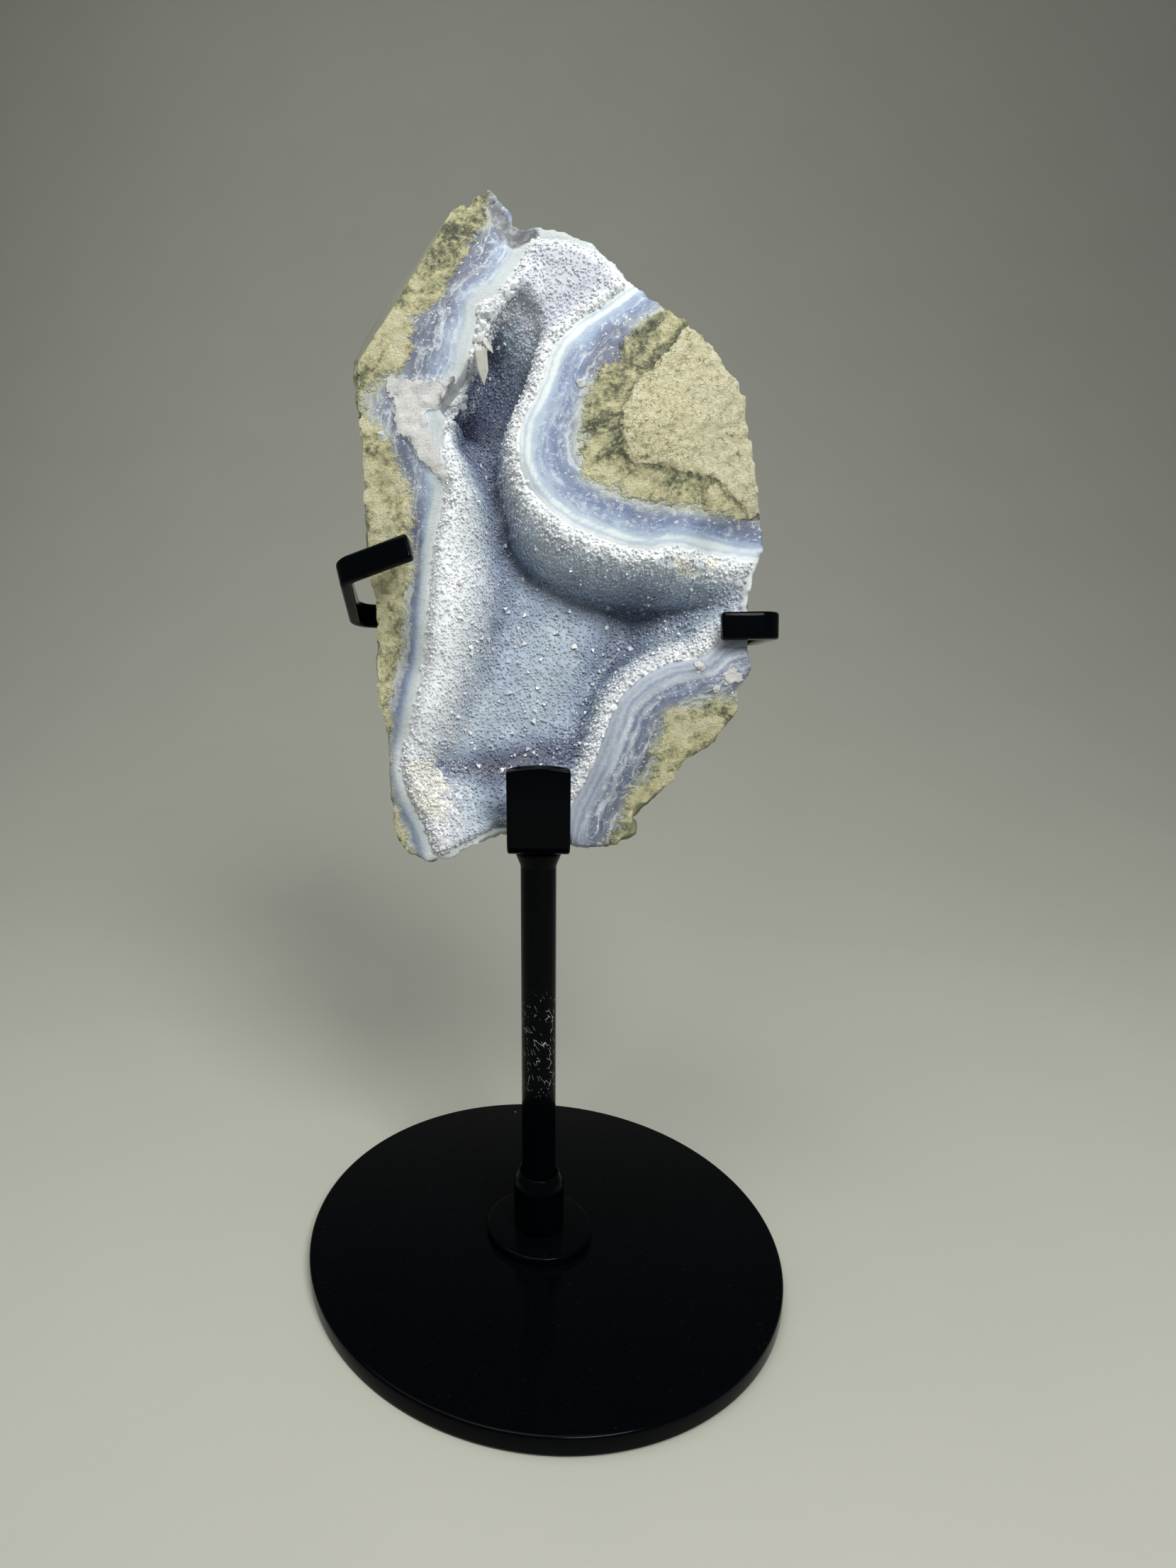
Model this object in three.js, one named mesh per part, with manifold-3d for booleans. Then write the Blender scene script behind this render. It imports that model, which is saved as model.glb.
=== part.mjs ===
// A half geode of blue lace agate held upright by a black steel display stand.
// Millimetres, +Z up, the stone's broken face looks along -Y. The origin is the middle of the base's underside.
import * as THREE from 'three';
import Module from 'manifold-3d';

const wasm = await Module();
wasm.setup();

// Driving dimensions of the stand
const BASE_RADIUS = 40;
const BASE_THICKNESS = 3.2;
const BASE_EDGE = 0.5;
const WASHER_RADIUS = 9;
const WASHER_THICKNESS = 1.5;
const COLLAR_RADIUS = 4.3;
const COLLAR_TOP = 15.2;
const COLLAR_SHOULDER = 2;
const COLLAR_FOOT = 0.6;
const POLE_RADIUS = 2.85;
const TOUCH = 0.3;
const SEAT_TOP = 75.2;
const STRIP_WIDTH = 9.2;
const STRIP_THICKNESS = 2.1;
const PRONG_FACE = -5.8;
const PRONG_HEIGHT = 10.4;
const PRONG_LEAN = 1;
const PRONG_CROWN = 0.6;
const SPINE_FOOT = 23.6;
const SPINE_TOP = [30.6, 107.5];
const BAND_WIDTH = 4.1;
const BAND_THICKNESS = 1.9;
const BAND_CHAMFER = 0.3;

// How the stone sits: the foot of its broken face, and how far that face leans back
const STONE_FOOT = [0, -3.4, 75.5];
const STONE_LEAN = 12;

// Driving dimensions of the stone, in its own frame: X to the right, Y up the broken face, Z out of it
const SIDE_DEPTH = 8;
const BACK_DEPTH = 25;
const BACK_ROUNDING = 30;
const WALL_WIDTH = 5;
const RIM_REACH = 4;
const FLOOR_REACH = 3.2;
const CAVE_BLEND = 1.6;
const CELL = 3.05;
const GRID_LOW = [-36, -10, -30];
const GRID_HIGH = [40, 108, 8];
const PINCH_FILL = 0.15;

// The edge of the broken face, from the tip round by the right
const FACE_EDGE = [
  [-11, 101], [-8.5, 101.5], [-6, 99.5], [-4, 97], [-3.5, 95.5], [1, 94.5], [8.5, 91.5], [11, 88.5], [14.5, 84],
  [21.5, 78], [25.5, 74], [28, 70], [30.5, 65.5], [32, 57], [33.5, 48], [33.5, 42.5], [32.5, 40], [31.5, 30],
  [32, 25.5], [30.5, 23.5], [30.5, 19.5], [26, 14.5], [22.5, 12.5], [20.5, 9], [18, 6.5], [14, 3.5], [14.5, 1],
  [12, -1], [7.5, -1.5], [4.5, -1], [0, 0.5], [-6, 1], [-7.5, 0], [-11.5, -2], [-14, -3.5], [-17.5, -4],
  [-20, -2.5], [-22.5, 0], [-23.5, 11], [-25.5, 25], [-26, 33], [-27, 47.5], [-27.5, 66], [-28, 68], [-30, 76],
  [-27, 81.5], [-24, 87.5], [-19.5, 91.5], [-16, 95.5], [-13, 100.5],
];

// Where the white band ends and the hollow begins, from the top round by the island on the right
const HOLLOW_EDGE = [
  [-2, 94], [4.5, 93], [10, 90], [14.5, 83.5], [7, 79.5], [4, 77], [2.5, 74], [0.5, 68], [-1.5, 65], [-2.5, 61.5],
  [-2, 58], [-0.5, 55], [1.5, 52], [5.5, 49], [10, 47], [17.5, 45], [26.5, 43.5], [33.5, 42.5], [35, 35.5],
  [32, 30.5], [27.5, 29], [25.5, 27], [20.5, 26], [16, 24], [13, 21], [11.5, 17.5], [9.5, 12], [7.5, 7.5],
  [5.5, 3.5], [4.5, -2], [-7.5, -1], [-13, -4], [-17, -2.5], [-18, 1.5], [-20, 6.5], [-20.5, 11], [-19, 15.5],
  [-16, 24.5], [-14, 35.5], [-14.5, 41.5], [-15, 45], [-13.5, 49.5], [-13, 53.5], [-13.5, 58], [-15.5, 61],
  [-15, 64.5], [-13, 67], [-12, 70.5], [-11, 75.5], [-10, 82.5], [-6.5, 84.5], [-4, 87], [-3, 91],
];

// Heights of the broken face at places on it
const RIM_HEIGHTS = [
  [-9, 99.5, -3], [-17.5, 89, -1], [-25.5, 78.5, -1], [-28.5, 70, -1.5], [-6.5, 94.5, -2.5], [-12, 86.5, -0.5],
  [-17.5, 78.5, 0], [-22, 63, -1], [-17.5, 60, 0.5], [-26.5, 57, -3], [-25.5, 43.5, -3.5], [-24.5, 28.5, -3.5],
  [-23, 13.5, -3], [-21.5, 1, -2.5], [-17.5, 47, 0], [-17.5, 33.5, 0.5], [-20, 20.5, 0], [-22, 9, -0.5],
  [-18, -2, -1.5], [15, 81, -0.5], [4.5, 67.5, 0], [2.5, 58, 0], [13, 49, 0.5], [21, 61.5, 2.5], [25.5, 66, 1],
  [29.5, 57, -0.5], [21, 51.5, 1.5], [32, 44.5, -2], [20, 73, 0.5], [21.5, 24, 0], [15, 17.5, 0], [29, 27.5, -1],
  [29, 19, -2], [22, 13.5, -2.5], [15.5, 5.5, -3], [10, 1.5, -2], [7.5, 4.5, -1], [11, 11.5, 0],
];

// Heights of the hollow's floor
const FLOOR_HEIGHTS = [
  [-12, 52, -3], [-13.5, 35, -3], [-14.5, 25, -3.5], [-17.5, 16, -3], [-8.5, 51, -7.5], [-10, 40.5, -7.5],
  [-12, 32.5, -8], [-6, 62, -13], [-3, 52.5, -14], [-4.5, 44, -12.5], [-8, 34, -11], [-12, 22.5, -9],
  [-15, 15.5, -6], [1.5, 28, -8], [-3, 33.5, -9], [7.5, 32, -10.5], [-2, 20.5, -8], [4.5, 20.5, -9],
  [-7, 25.5, -8.5], [8.5, 37, -14], [16, 37.5, -15.5], [22.5, 38, -12.5], [29, 37.5, -8], [32.5, 37.5, -5.5],
  [13, 26.5, -10.5], [19.5, 32, -9], [25.5, 32, -5], [10.5, 19.5, -8], [6, 10, -5], [-7, 12, -7], [2, 13.5, -8],
  [-13.5, 11, -5], [-12.5, 4.5, -3], [-6.5, 3.5, -3.5], [-15.5, 0, -2], [-18, 9, -2], [1, 5.5, -4],
  [-2.5, 70, -15.5], [-7.5, 71.5, -16], [-8.5, 78.5, -16.5], [-6.5, 83, -12.5], [-3, 86, -9], [-0.5, 81.5, -10],
  [3.5, 90, -3], [10, 87, -1.5], [1, 86.5, -6], [-1.5, 92.5, -3], [4.5, 84.5, -4.5],
];

// Undercuts of the hollow, each a round tunnel from one end to the other: two ends and a radius
const CAVES = [
  { from: [7, 41.5, -12.5], to: [19, 41.5, -10.5], radius: 4.8 },
  { from: [-1, 52, -12], to: [0.5, 68, -12], radius: 4 },
  { from: [-10.5, 70, -12.5], to: [-9.5, 79, -12.5], radius: 4.5 },
];

// Flat breaks of the rind: a direction out of the stone and how far out the flat lies
const BREAKS = [
  { out: [-0.72, 0.48, 0.5], reach: 57.2 },
  { out: [-0.93, 0.05, 0.36], reach: 27.4 },
  { out: [0.55, 0.6, -0.58], reach: 66 },
  { out: [0.8, -0.1, -0.6], reach: 33 },
  { out: [-0.75, -0.15, -0.64], reach: 25.5 },
  { out: [-0.35, 0.7, -0.62], reach: 76 },
  { out: [0.15, -0.57, -0.81], reach: 12 },
];

// Slow swells of the rind, as crossed waves: how high, and the two waves' directions
const SWELLS = [
  { height: 0.8, first: [0.21, 0.13, 0.3], second: [-0.12, 0.23, 0.17] },
  { height: 0.45, first: [0.52, -0.2, 0.4], second: [0.16, 0.55, -0.5] },
];

// Crust of crystals
const CRUST_BURIED = 0.8;
const CRUST_THICKNESS = 1;
const CRYSTAL_HEIGHT = 1.1;
const CRYSTAL_TILT = 0.7;
const CRYSTAL_SHARE = 0.6;
const LEAST_CORNER = 0.45;
const BLADE_ROOT = [-8.6, 77.5, -2.4];
const BLADE_TIP = [-7.6, 69.8, -1.4];
const BLADE_RADIUS = 1.5;

// Colours, roughness and metalness
const MATERIALS = {
  banded_agate: { color: 0xaab4cf, roughness: 0.45, metalness: 0 },
  druzy_quartz: { color: 0xb9bfd8, roughness: 0.2, metalness: 0 },
  black_paint: { color: 0x0a0b0d, roughness: 0.25, metalness: 0 },
};

function material(slot) {
  const made = new THREE.MeshStandardMaterial(MATERIALS[slot]);
  made.name = slot;
  return made;
}

function named(name, geometry, slot) {
  const mesh = new THREE.Mesh(geometry, material(slot));
  mesh.name = name;
  return mesh;
}

// Geometry helpers

function geometryFrom(points, triangles) {
  const geometry = new THREE.BufferGeometry();
  geometry.setAttribute('position', new THREE.Float32BufferAttribute(points.flat(), 3));
  geometry.setIndex(triangles.flat());
  geometry.computeVertexNormals();
  return geometry;
}

function solidFrom(points, triangles) {
  const mesh = new wasm.Mesh({
    numProp: 3,
    vertProperties: new Float32Array(points.flat()),
    triVerts: new Uint32Array(triangles.flat()),
  });
  return new wasm.Manifold(mesh);
}

function geometryOfSolid(solid) {
  const mesh = solid.getMesh();
  const geometry = new THREE.BufferGeometry();
  geometry.setAttribute('position', new THREE.Float32BufferAttribute(mesh.vertProperties, mesh.numProp));
  geometry.setIndex(Array.from(mesh.triVerts));
  geometry.computeVertexNormals();
  return geometry;
}

function turned(profile, segments) {
  const points = profile.map(([radius, height]) => new THREE.Vector2(radius, height));
  const lathe = new THREE.LatheGeometry(points, segments);
  lathe.rotateX(Math.PI / 2);
  return lathe;
}

// A route with round corners: each inner point is replaced by an arc of its own radius
function roundedRoute(corners, steps) {
  const route = [];
  corners.forEach(({ at, up, radius }, index) => {
    const here = new THREE.Vector3(...at);
    const across = new THREE.Vector3(...up);
    if (index === 0 || index === corners.length - 1) {
      route.push({ at: here, up: across });
      return;
    }
    const before = new THREE.Vector3(...corners[index - 1].at).sub(here).normalize();
    const after = new THREE.Vector3(...corners[index + 1].at).sub(here).normalize();
    const half = before.angleTo(after) / 2;
    const start = here.clone().addScaledVector(before, radius / Math.tan(half));
    const end = here.clone().addScaledVector(after, radius / Math.tan(half));
    for (let step = 0; step <= steps; step += 1) {
      route.push({ at: arcPoint(start, here, end, radius, step / steps), up: across });
    }
  });
  return route;
}

function arcPoint(start, corner, end, radius, part) {
  const middle = start.clone().add(end).multiplyScalar(0.5);
  const inward = middle.clone().sub(corner).normalize();
  const chord = start.distanceTo(end) / 2;
  const centre = middle.clone().addScaledVector(inward, Math.sqrt(Math.max(radius * radius - chord * chord, 0)));
  const from = start.clone().sub(centre);
  const to = end.clone().sub(centre);
  const axis = from.clone().cross(to).normalize();
  return centre.add(from.applyAxisAngle(axis, from.angleTo(to) * part));
}

// A flat strip bent along a route: its section is a list of places [across the width, through the thickness]
function sweptStrip(route, section) {
  const points = [];
  const triangles = [];
  const count = section.length;
  route.forEach((stop, index) => {
    const ahead = route[Math.min(index + 1, route.length - 1)].at;
    const behind = route[Math.max(index - 1, 0)].at;
    const along = ahead.clone().sub(behind).normalize();
    const across = stop.up.clone().addScaledVector(along, -stop.up.dot(along)).normalize();
    const through = along.clone().cross(across);
    for (const [width, thickness] of section) {
      const place = stop.at.clone().addScaledVector(across, width).addScaledVector(through, thickness);
      points.push(place.toArray());
    }
  });
  for (let ring = 0; ring + 1 < route.length; ring += 1) {
    for (let side = 0; side < count; side += 1) {
      const a = ring * count + side;
      const b = ring * count + (side + 1) % count;
      triangles.push([a, b, a + count], [b, b + count, a + count]);
    }
  }
  const last = (route.length - 1) * count;
  for (let side = 1; side + 1 < count; side += 1) {
    triangles.push([0, side + 1, side], [last, last + side, last + side + 1]);
  }
  return { points, triangles };
}

function chamferedSection(width, thickness, chamfer) {
  const w = width / 2;
  const t = thickness / 2;
  return [
    [-w, -t + chamfer], [-w, t - chamfer], [-w + chamfer, t], [w - chamfer, t],
    [w, t - chamfer], [w, -t + chamfer], [w - chamfer, -t], [-w + chamfer, -t],
  ].reverse();
}

// A section with several points across its width, so that the strip's end can be crowned
function wideSection(width, thickness, columns) {
  const across = Array.from({ length: columns + 1 }, (_, column) => width * (column / columns - 0.5));
  const near = across.map((place) => [place, -thickness / 2]);
  const far = across.map((place) => [place, thickness / 2]).reverse();
  return near.concat(far);
}

// Stand

function basePlate() {
  const r = BASE_RADIUS;
  const t = BASE_THICKNESS;
  return turned([[0, 0], [r - BASE_EDGE, 0], [r, BASE_EDGE], [r, t - BASE_EDGE], [r - BASE_EDGE, t], [0, t]], 64);
}

function flangeWasher() {
  const low = BASE_THICKNESS + TOUCH / 3;
  const high = low + WASHER_THICKNESS;
  const r = WASHER_RADIUS;
  const hole = POLE_RADIUS + TOUCH;
  return turned([[hole, low], [r, low], [r, high - 0.3], [r - 0.3, high], [hole, high], [hole, low]], 28);
}

function collar() {
  const low = BASE_THICKNESS + WASHER_THICKNESS + TOUCH;
  const hole = POLE_RADIUS + TOUCH;
  const r = COLLAR_RADIUS;
  const full = COLLAR_TOP - COLLAR_SHOULDER;
  return turned([
    [hole, low], [r - COLLAR_FOOT, low], [r, low + COLLAR_FOOT], [r, full], [r - 0.35, full + 0.9],
    [hole + 0.2, COLLAR_TOP], [hole, COLLAR_TOP], [hole, low],
  ], 24);
}

function pole() {
  const low = BASE_THICKNESS + TOUCH;
  const high = SEAT_TOP - STRIP_THICKNESS - TOUCH;
  return turned([[0, low], [POLE_RADIUS, low], [POLE_RADIUS, high], [0, high]], 24);
}

function cradleRoute() {
  const seat = SEAT_TOP - STRIP_THICKNESS / 2;
  const front = PRONG_FACE + STRIP_THICKNESS / 2;
  const up = [1, 0, 0];
  return roundedRoute([
    { at: [0, front - PRONG_LEAN, SEAT_TOP + PRONG_HEIGHT], up },
    { at: [0, front, seat], up, radius: 1.5 },
    { at: [0, SPINE_FOOT, seat], up, radius: 4 },
    { at: [0, ...SPINE_TOP], up },
  ], 4);
}

// The prong's free end is crowned, like a file-rounded strip
function crownProng(points, section) {
  section.forEach(([width], index) => {
    const away = (2 * width) / STRIP_WIDTH;
    points[index][2] += PRONG_CROWN * (1 - away * away);
  });
}

function cradleStrip() {
  const section = wideSection(STRIP_WIDTH, STRIP_THICKNESS, 6);
  const { points, triangles } = sweptStrip(cradleRoute(), section);
  crownProng(points, section);
  return { points, triangles };
}

// From the left finger's end, round the back of the stone, to the right finger's end
function bandRoute() {
  const left = [-0.25, 0.38, 0.89];
  const right = [0.02, 0.25, 0.97];
  return roundedRoute([
    { at: [-19.4, 2.6, 120], up: left },
    { at: [-30.2, 3.4, 116.6], up: left, radius: 2.2 },
    { at: [-32.6, 24.5, 109], up: [-0.05, 0.2, 0.98], radius: 3 },
    { at: [0, 28.3, 107], up: [0, 0.24, 0.97], radius: 12 },
    { at: [36.5, 24.5, 104.3], up: [0, 0.24, 0.97], radius: 3 },
    { at: [34.9, 2.8, 106.9], up: right, radius: 2.2 },
    { at: [27.2, 2.4, 107], up: right },
  ], 5);
}

function sideBand() {
  return sweptStrip(bandRoute(), chamferedSection(BAND_WIDTH, BAND_THICKNESS, BAND_CHAMFER));
}

// Stone

const dot = (a, b) => a[0] * b[0] + a[1] * b[1] + a[2] * b[2];
const clamp01 = (value) => Math.min(Math.max(value, 0), 1);
const smooth = (value) => clamp01(value) ** 2 * (3 - 2 * clamp01(value));

function smoothMax(a, b, blend) {
  const part = clamp01(0.5 + (a - b) / (2 * blend));
  return b + (a - b) * part + blend * part * (1 - part);
}

// Distance to a closed line, positive inside it
function insideDistance(line, x, y) {
  let nearest = Infinity;
  let inside = false;
  for (let i = 0, j = line.length - 1; i < line.length; j = i, i += 1) {
    const [ax, ay] = line[j];
    const [bx, by] = line[i];
    const part = clamp01(((x - ax) * (bx - ax) + (y - ay) * (by - ay)) / ((bx - ax) ** 2 + (by - ay) ** 2));
    nearest = Math.min(nearest, Math.hypot(x - ax - part * (bx - ax), y - ay - part * (by - ay)));
    if ((ay > y) !== (by > y) && x < ((bx - ax) * (y - ay)) / (by - ay) + ax) {
      inside = !inside;
    }
  }
  return inside ? nearest : -nearest;
}

// Heights known at a few places, blended smoothly between them
function blendedHeight(places, reach, x, y) {
  let sum = 0;
  let weights = 0;
  for (const [px, py, height] of places) {
    const square = (x - px) ** 2 + (y - py) ** 2;
    const weight = Math.exp(-square / (2 * reach * reach)) + 1e-5 / (1 + square);
    sum += weight * height;
    weights += weight;
  }
  return sum / weights;
}

function rimHeight(x, y) {
  return blendedHeight(RIM_HEIGHTS, RIM_REACH, x, y);
}

function faceHeight(x, y) {
  const rim = rimHeight(x, y);
  const within = insideDistance(HOLLOW_EDGE, x, y);
  if (within <= 0) {
    return rim;
  }
  const floor = blendedHeight(FLOOR_HEIGHTS, FLOOR_REACH, x, y);
  return rim + (floor - rim) * smooth(within / WALL_WIDTH);
}

function swell(x, y, z) {
  const place = [x, y, z];
  return SWELLS.reduce((sum, wave) => (
    sum + wave.height * Math.sin(dot(place, wave.first)) * Math.sin(dot(place, wave.second) + 1)
  ), 0);
}

// The rind: straight sides that round over into the back, with flat breaks
function rindField(x, y, z, edgeDistance) {
  const below = clamp01((-z - SIDE_DEPTH) / (BACK_DEPTH - SIDE_DEPTH));
  const shrink = BACK_ROUNDING * (1 - Math.sqrt(1 - below * below));
  let field = shrink - edgeDistance + swell(x, y, z) * smooth(-z / SIDE_DEPTH);
  field = Math.max(field, -z - BACK_DEPTH);
  for (const { out, reach } of BREAKS) {
    field = Math.max(field, dot(out, [x, y, z]) - reach);
  }
  return field;
}

function caveField(x, y, z) {
  let nearest = Infinity;
  for (const { from, to, radius } of CAVES) {
    const along = [to[0] - from[0], to[1] - from[1], to[2] - from[2]];
    const offset = [x - from[0], y - from[1], z - from[2]];
    const part = clamp01(dot(offset, along) / dot(along, along));
    const away = offset.map((value, axis) => value - part * along[axis]);
    nearest = Math.min(nearest, Math.hypot(...away) - radius);
  }
  return nearest;
}

// Negative inside the stone. The whole stone is the stone before its hollow opened.
function makeFields() {
  const cache = new Map();
  const column = (x, y) => {
    const key = `${x},${y}`;
    if (!cache.has(key)) {
      cache.set(key, { edge: insideDistance(FACE_EDGE, x, y), rim: rimHeight(x, y), face: faceHeight(x, y) });
    }
    return cache.get(key);
  };
  const whole = (x, y, z) => {
    const { edge, rim } = column(x, y);
    return Math.max(rindField(x, y, z, edge), z - rim);
  };
  const stone = (x, y, z) => {
    const { edge, face } = column(x, y);
    const solid = Math.max(rindField(x, y, z, edge), z - face);
    return smoothMax(solid, -caveField(x, y, z), CAVE_BLEND);
  };
  return { whole, stone };
}

// Surface of a field on a grid: one vertex in each cell that the surface crosses, one quad per crossed grid line
function surfaceNet(field, low, high, cell) {
  const size = low.map((value, axis) => Math.ceil((high[axis] - value) / cell) + 1);
  const at = (i, j, k) => i + size[0] * (j + size[1] * k);
  const values = new Float64Array(size[0] * size[1] * size[2]);
  for (let k = 0; k < size[2]; k += 1) {
    for (let j = 0; j < size[1]; j += 1) {
      for (let i = 0; i < size[0]; i += 1) {
        values[at(i, j, k)] = field(low[0] + i * cell, low[1] + j * cell, low[2] + k * cell);
      }
    }
  }
  fillPinches(values, at, size, cell);
  const points = [];
  const vertexOf = new Map();
  const vertex = (i, j, k) => {
    const key = at(i, j, k);
    if (!vertexOf.has(key)) {
      vertexOf.set(key, points.length);
      points.push(cellPoint(values, at, [i, j, k]).map((value, axis) => low[axis] + value * cell));
    }
    return vertexOf.get(key);
  };
  const quads = [];
  const steps = [[1, 0, 0], [0, 1, 0], [0, 0, 1]];
  for (let k = 1; k + 1 < size[2]; k += 1) {
    for (let j = 1; j + 1 < size[1]; j += 1) {
      for (let i = 1; i + 1 < size[0]; i += 1) {
        steps.forEach((step, axis) => {
          const here = values[at(i, j, k)];
          const next = values[at(i + step[0], j + step[1], k + step[2])];
          if ((here < 0) === (next < 0)) {
            return;
          }
          const b = steps[(axis + 1) % 3];
          const c = steps[(axis + 2) % 3];
          const corner = (m, n) => vertex(i - m * b[0] - n * c[0], j - m * b[1] - n * c[1], k - m * b[2] - n * c[2]);
          const quad = [corner(0, 0), corner(1, 0), corner(1, 1), corner(0, 1)];
          quads.push(here < 0 ? quad : quad.reverse());
        });
      }
    }
  }
  return { points, quads };
}

// A grid face whose corners are inside and outside by turns would pinch the surface, so one corner is filled
function fillPinches(values, at, size, cell) {
  const sides = [[[1, 0, 0], [0, 1, 0]], [[0, 1, 0], [0, 0, 1]], [[0, 0, 1], [1, 0, 0]]];
  let filled = true;
  while (filled) {
    filled = false;
    for (let k = 0; k + 1 < size[2]; k += 1) {
      for (let j = 0; j + 1 < size[1]; j += 1) {
        for (let i = 0; i + 1 < size[0]; i += 1) {
          for (const [u, v] of sides) {
            const corners = [[0, 0], [1, 0], [1, 1], [0, 1]].map(([m, n]) => (
              at(i + m * u[0] + n * v[0], j + m * u[1] + n * v[1], k + m * u[2] + n * v[2])
            ));
            const [a, b, c, d] = corners.map((index) => values[index] < 0);
            if (a === c && b === d && a !== b) {
              const open = a ? [corners[1], corners[3]] : [corners[0], corners[2]];
              values[values[open[0]] < values[open[1]] ? open[0] : open[1]] = -PINCH_FILL * cell;
              filled = true;
            }
          }
        }
      }
    }
  }
}

// The middle of the places where the surface crosses a cell's twelve edges
function cellPoint(values, at, [i, j, k]) {
  const sum = [0, 0, 0];
  let count = 0;
  for (let axis = 0; axis < 3; axis += 1) {
    for (let m = 0; m < 2; m += 1) {
      for (let n = 0; n < 2; n += 1) {
        const start = [0, 0, 0];
        start[(axis + 1) % 3] = m;
        start[(axis + 2) % 3] = n;
        const end = [...start];
        end[axis] = 1;
        const a = values[at(i + start[0], j + start[1], k + start[2])];
        const b = values[at(i + end[0], j + end[1], k + end[2])];
        if ((a < 0) !== (b < 0)) {
          start[axis] = a / (a - b);
          start.forEach((value, index) => { sum[index] += value; });
          count += 1;
        }
      }
    }
  }
  return [i, j, k].map((value, axis) => value + sum[axis] / count);
}

function splitQuads(points, quads) {
  return quads.flatMap(([a, b, c, d]) => {
    const first = distance(points[a], points[c]);
    const second = distance(points[b], points[d]);
    return first <= second ? [[a, b, c], [a, c, d]] : [[a, b, d], [b, c, d]];
  });
}

function distance(a, b) {
  return Math.hypot(a[0] - b[0], a[1] - b[1], a[2] - b[2]);
}

function vertexNormals(points, quads) {
  const normals = points.map(() => new THREE.Vector3());
  const corner = (index) => new THREE.Vector3(...points[index]);
  for (const quad of quads) {
    const one = corner(quad[2]).sub(corner(quad[0]));
    const other = corner(quad[3]).sub(corner(quad[1]));
    const normal = one.cross(other);
    quad.forEach((index) => normals[index].add(normal));
  }
  return normals.map((normal) => normal.normalize());
}

// How much further each vertex moves out, so that the faces round it keep their full distance in a corner
function cornerStretch(points, normals, triangles) {
  const least = points.map(() => 1);
  for (const triangle of triangles) {
    const [a, b, c] = triangle.map((index) => new THREE.Vector3(...points[index]));
    const face = b.sub(a).cross(c.sub(a)).normalize();
    triangle.forEach((index) => { least[index] = Math.min(least[index], face.dot(normals[index])); });
  }
  return least.map((value) => 1 / Math.max(value, LEAST_CORNER));
}

// Crust

// A repeatable number between 0 and 1 for a whole number
function chance(seed) {
  const value = Math.sin(seed * 127.1 + 311.7) * 43758.5453;
  return value - Math.floor(value);
}

function edgeKey(a, b) {
  return a < b ? `${a}_${b}` : `${b}_${a}`;
}

// The quads that line the hollow, without any that hang on by a corner alone
function hollowQuads(points, quads, whole) {
  const buried = points.map(([x, y, z]) => whole(x, y, z) < -CRUST_BURIED);
  let kept = quads.filter((quad) => quad.every((index) => buried[index]));
  for (let round = 0; round < 6; round += 1) {
    const edges = new Map();
    kept.forEach((quad) => quad.forEach((a, side) => {
      const key = edgeKey(a, quad[(side + 1) % 4]);
      edges.set(key, (edges.get(key) || 0) + 1);
    }));
    const borderEdges = new Map();
    edges.forEach((count, key) => {
      if (count === 1) {
        key.split('_').forEach((index) => borderEdges.set(index, (borderEdges.get(index) || 0) + 1));
      }
    });
    const pinched = (index) => (borderEdges.get(String(index)) || 0) > 2;
    const crowded = (quad) => quad.some((a, side) => edges.get(edgeKey(a, quad[(side + 1) % 4])) > 2);
    const loose = (quad) => quad.filter((a, side) => edges.get(edgeKey(a, quad[(side + 1) % 4])) > 1).length < 2;
    kept = kept.filter((quad) => !quad.some(pinched) && !loose(quad) && !crowded(quad));
  }
  return largestPatch(kept);
}

function largestPatch(quads) {
  const parent = new Map();
  const root = (index) => {
    let found = index;
    while (parent.has(found) && parent.get(found) !== found) {
      found = parent.get(found);
    }
    return found;
  };
  quads.forEach((quad) => quad.forEach((index) => parent.set(root(index), root(quad[0]))));
  const sizes = new Map();
  quads.forEach((quad) => sizes.set(root(quad[0]), (sizes.get(root(quad[0])) || 0) + 1));
  const best = [...sizes.entries()].sort((a, b) => b[1] - a[1])[0][0];
  return quads.filter((quad) => root(quad[0]) === best);
}

function crustShell(points, normals, quads) {
  const used = [...new Set(quads.flat())];
  const lower = new Map(used.map((index, order) => [index, order]));
  const count = used.length;
  const stretch = cornerStretch(points, normals, splitQuads(points, quads));
  const raise = (index, amount) => points[index].map((value, axis) => (
    value + normals[index].getComponent(axis) * amount * stretch[index]
  ));
  const shell = used.map((index) => raise(index, TOUCH));
  used.forEach((index) => shell.push(raise(index, TOUCH + CRUST_THICKNESS * (0.8 + 0.4 * chance(index)))));
  const triangles = splitQuads(points, quads).map((triangle) => triangle.map((index) => lower.get(index)).reverse());
  const edges = new Map();
  quads.forEach((quad, order) => {
    const top = quad.map((index) => lower.get(index) + count);
    if (chance(order) < CRYSTAL_SHARE) {
      const peak = shell.length;
      shell.push(crystalPeak(shell, top, normals, quad, order));
      top.forEach((index, side) => triangles.push([index, top[(side + 1) % 4], peak]));
    } else {
      triangles.push([top[0], top[1], top[2]], [top[0], top[2], top[3]]);
    }
    quad.forEach((from, side) => edges.set(`${from}_${quad[(side + 1) % 4]}`, [from, quad[(side + 1) % 4]]));
  });
  edges.forEach(([from, to], key) => {
    if (!edges.has(`${to}_${from}`)) {
      const [a, b] = [lower.get(from), lower.get(to)];
      triangles.push([a, b, b + count], [a, b + count, a + count]);
    }
  });
  return { points: shell, triangles };
}

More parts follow.
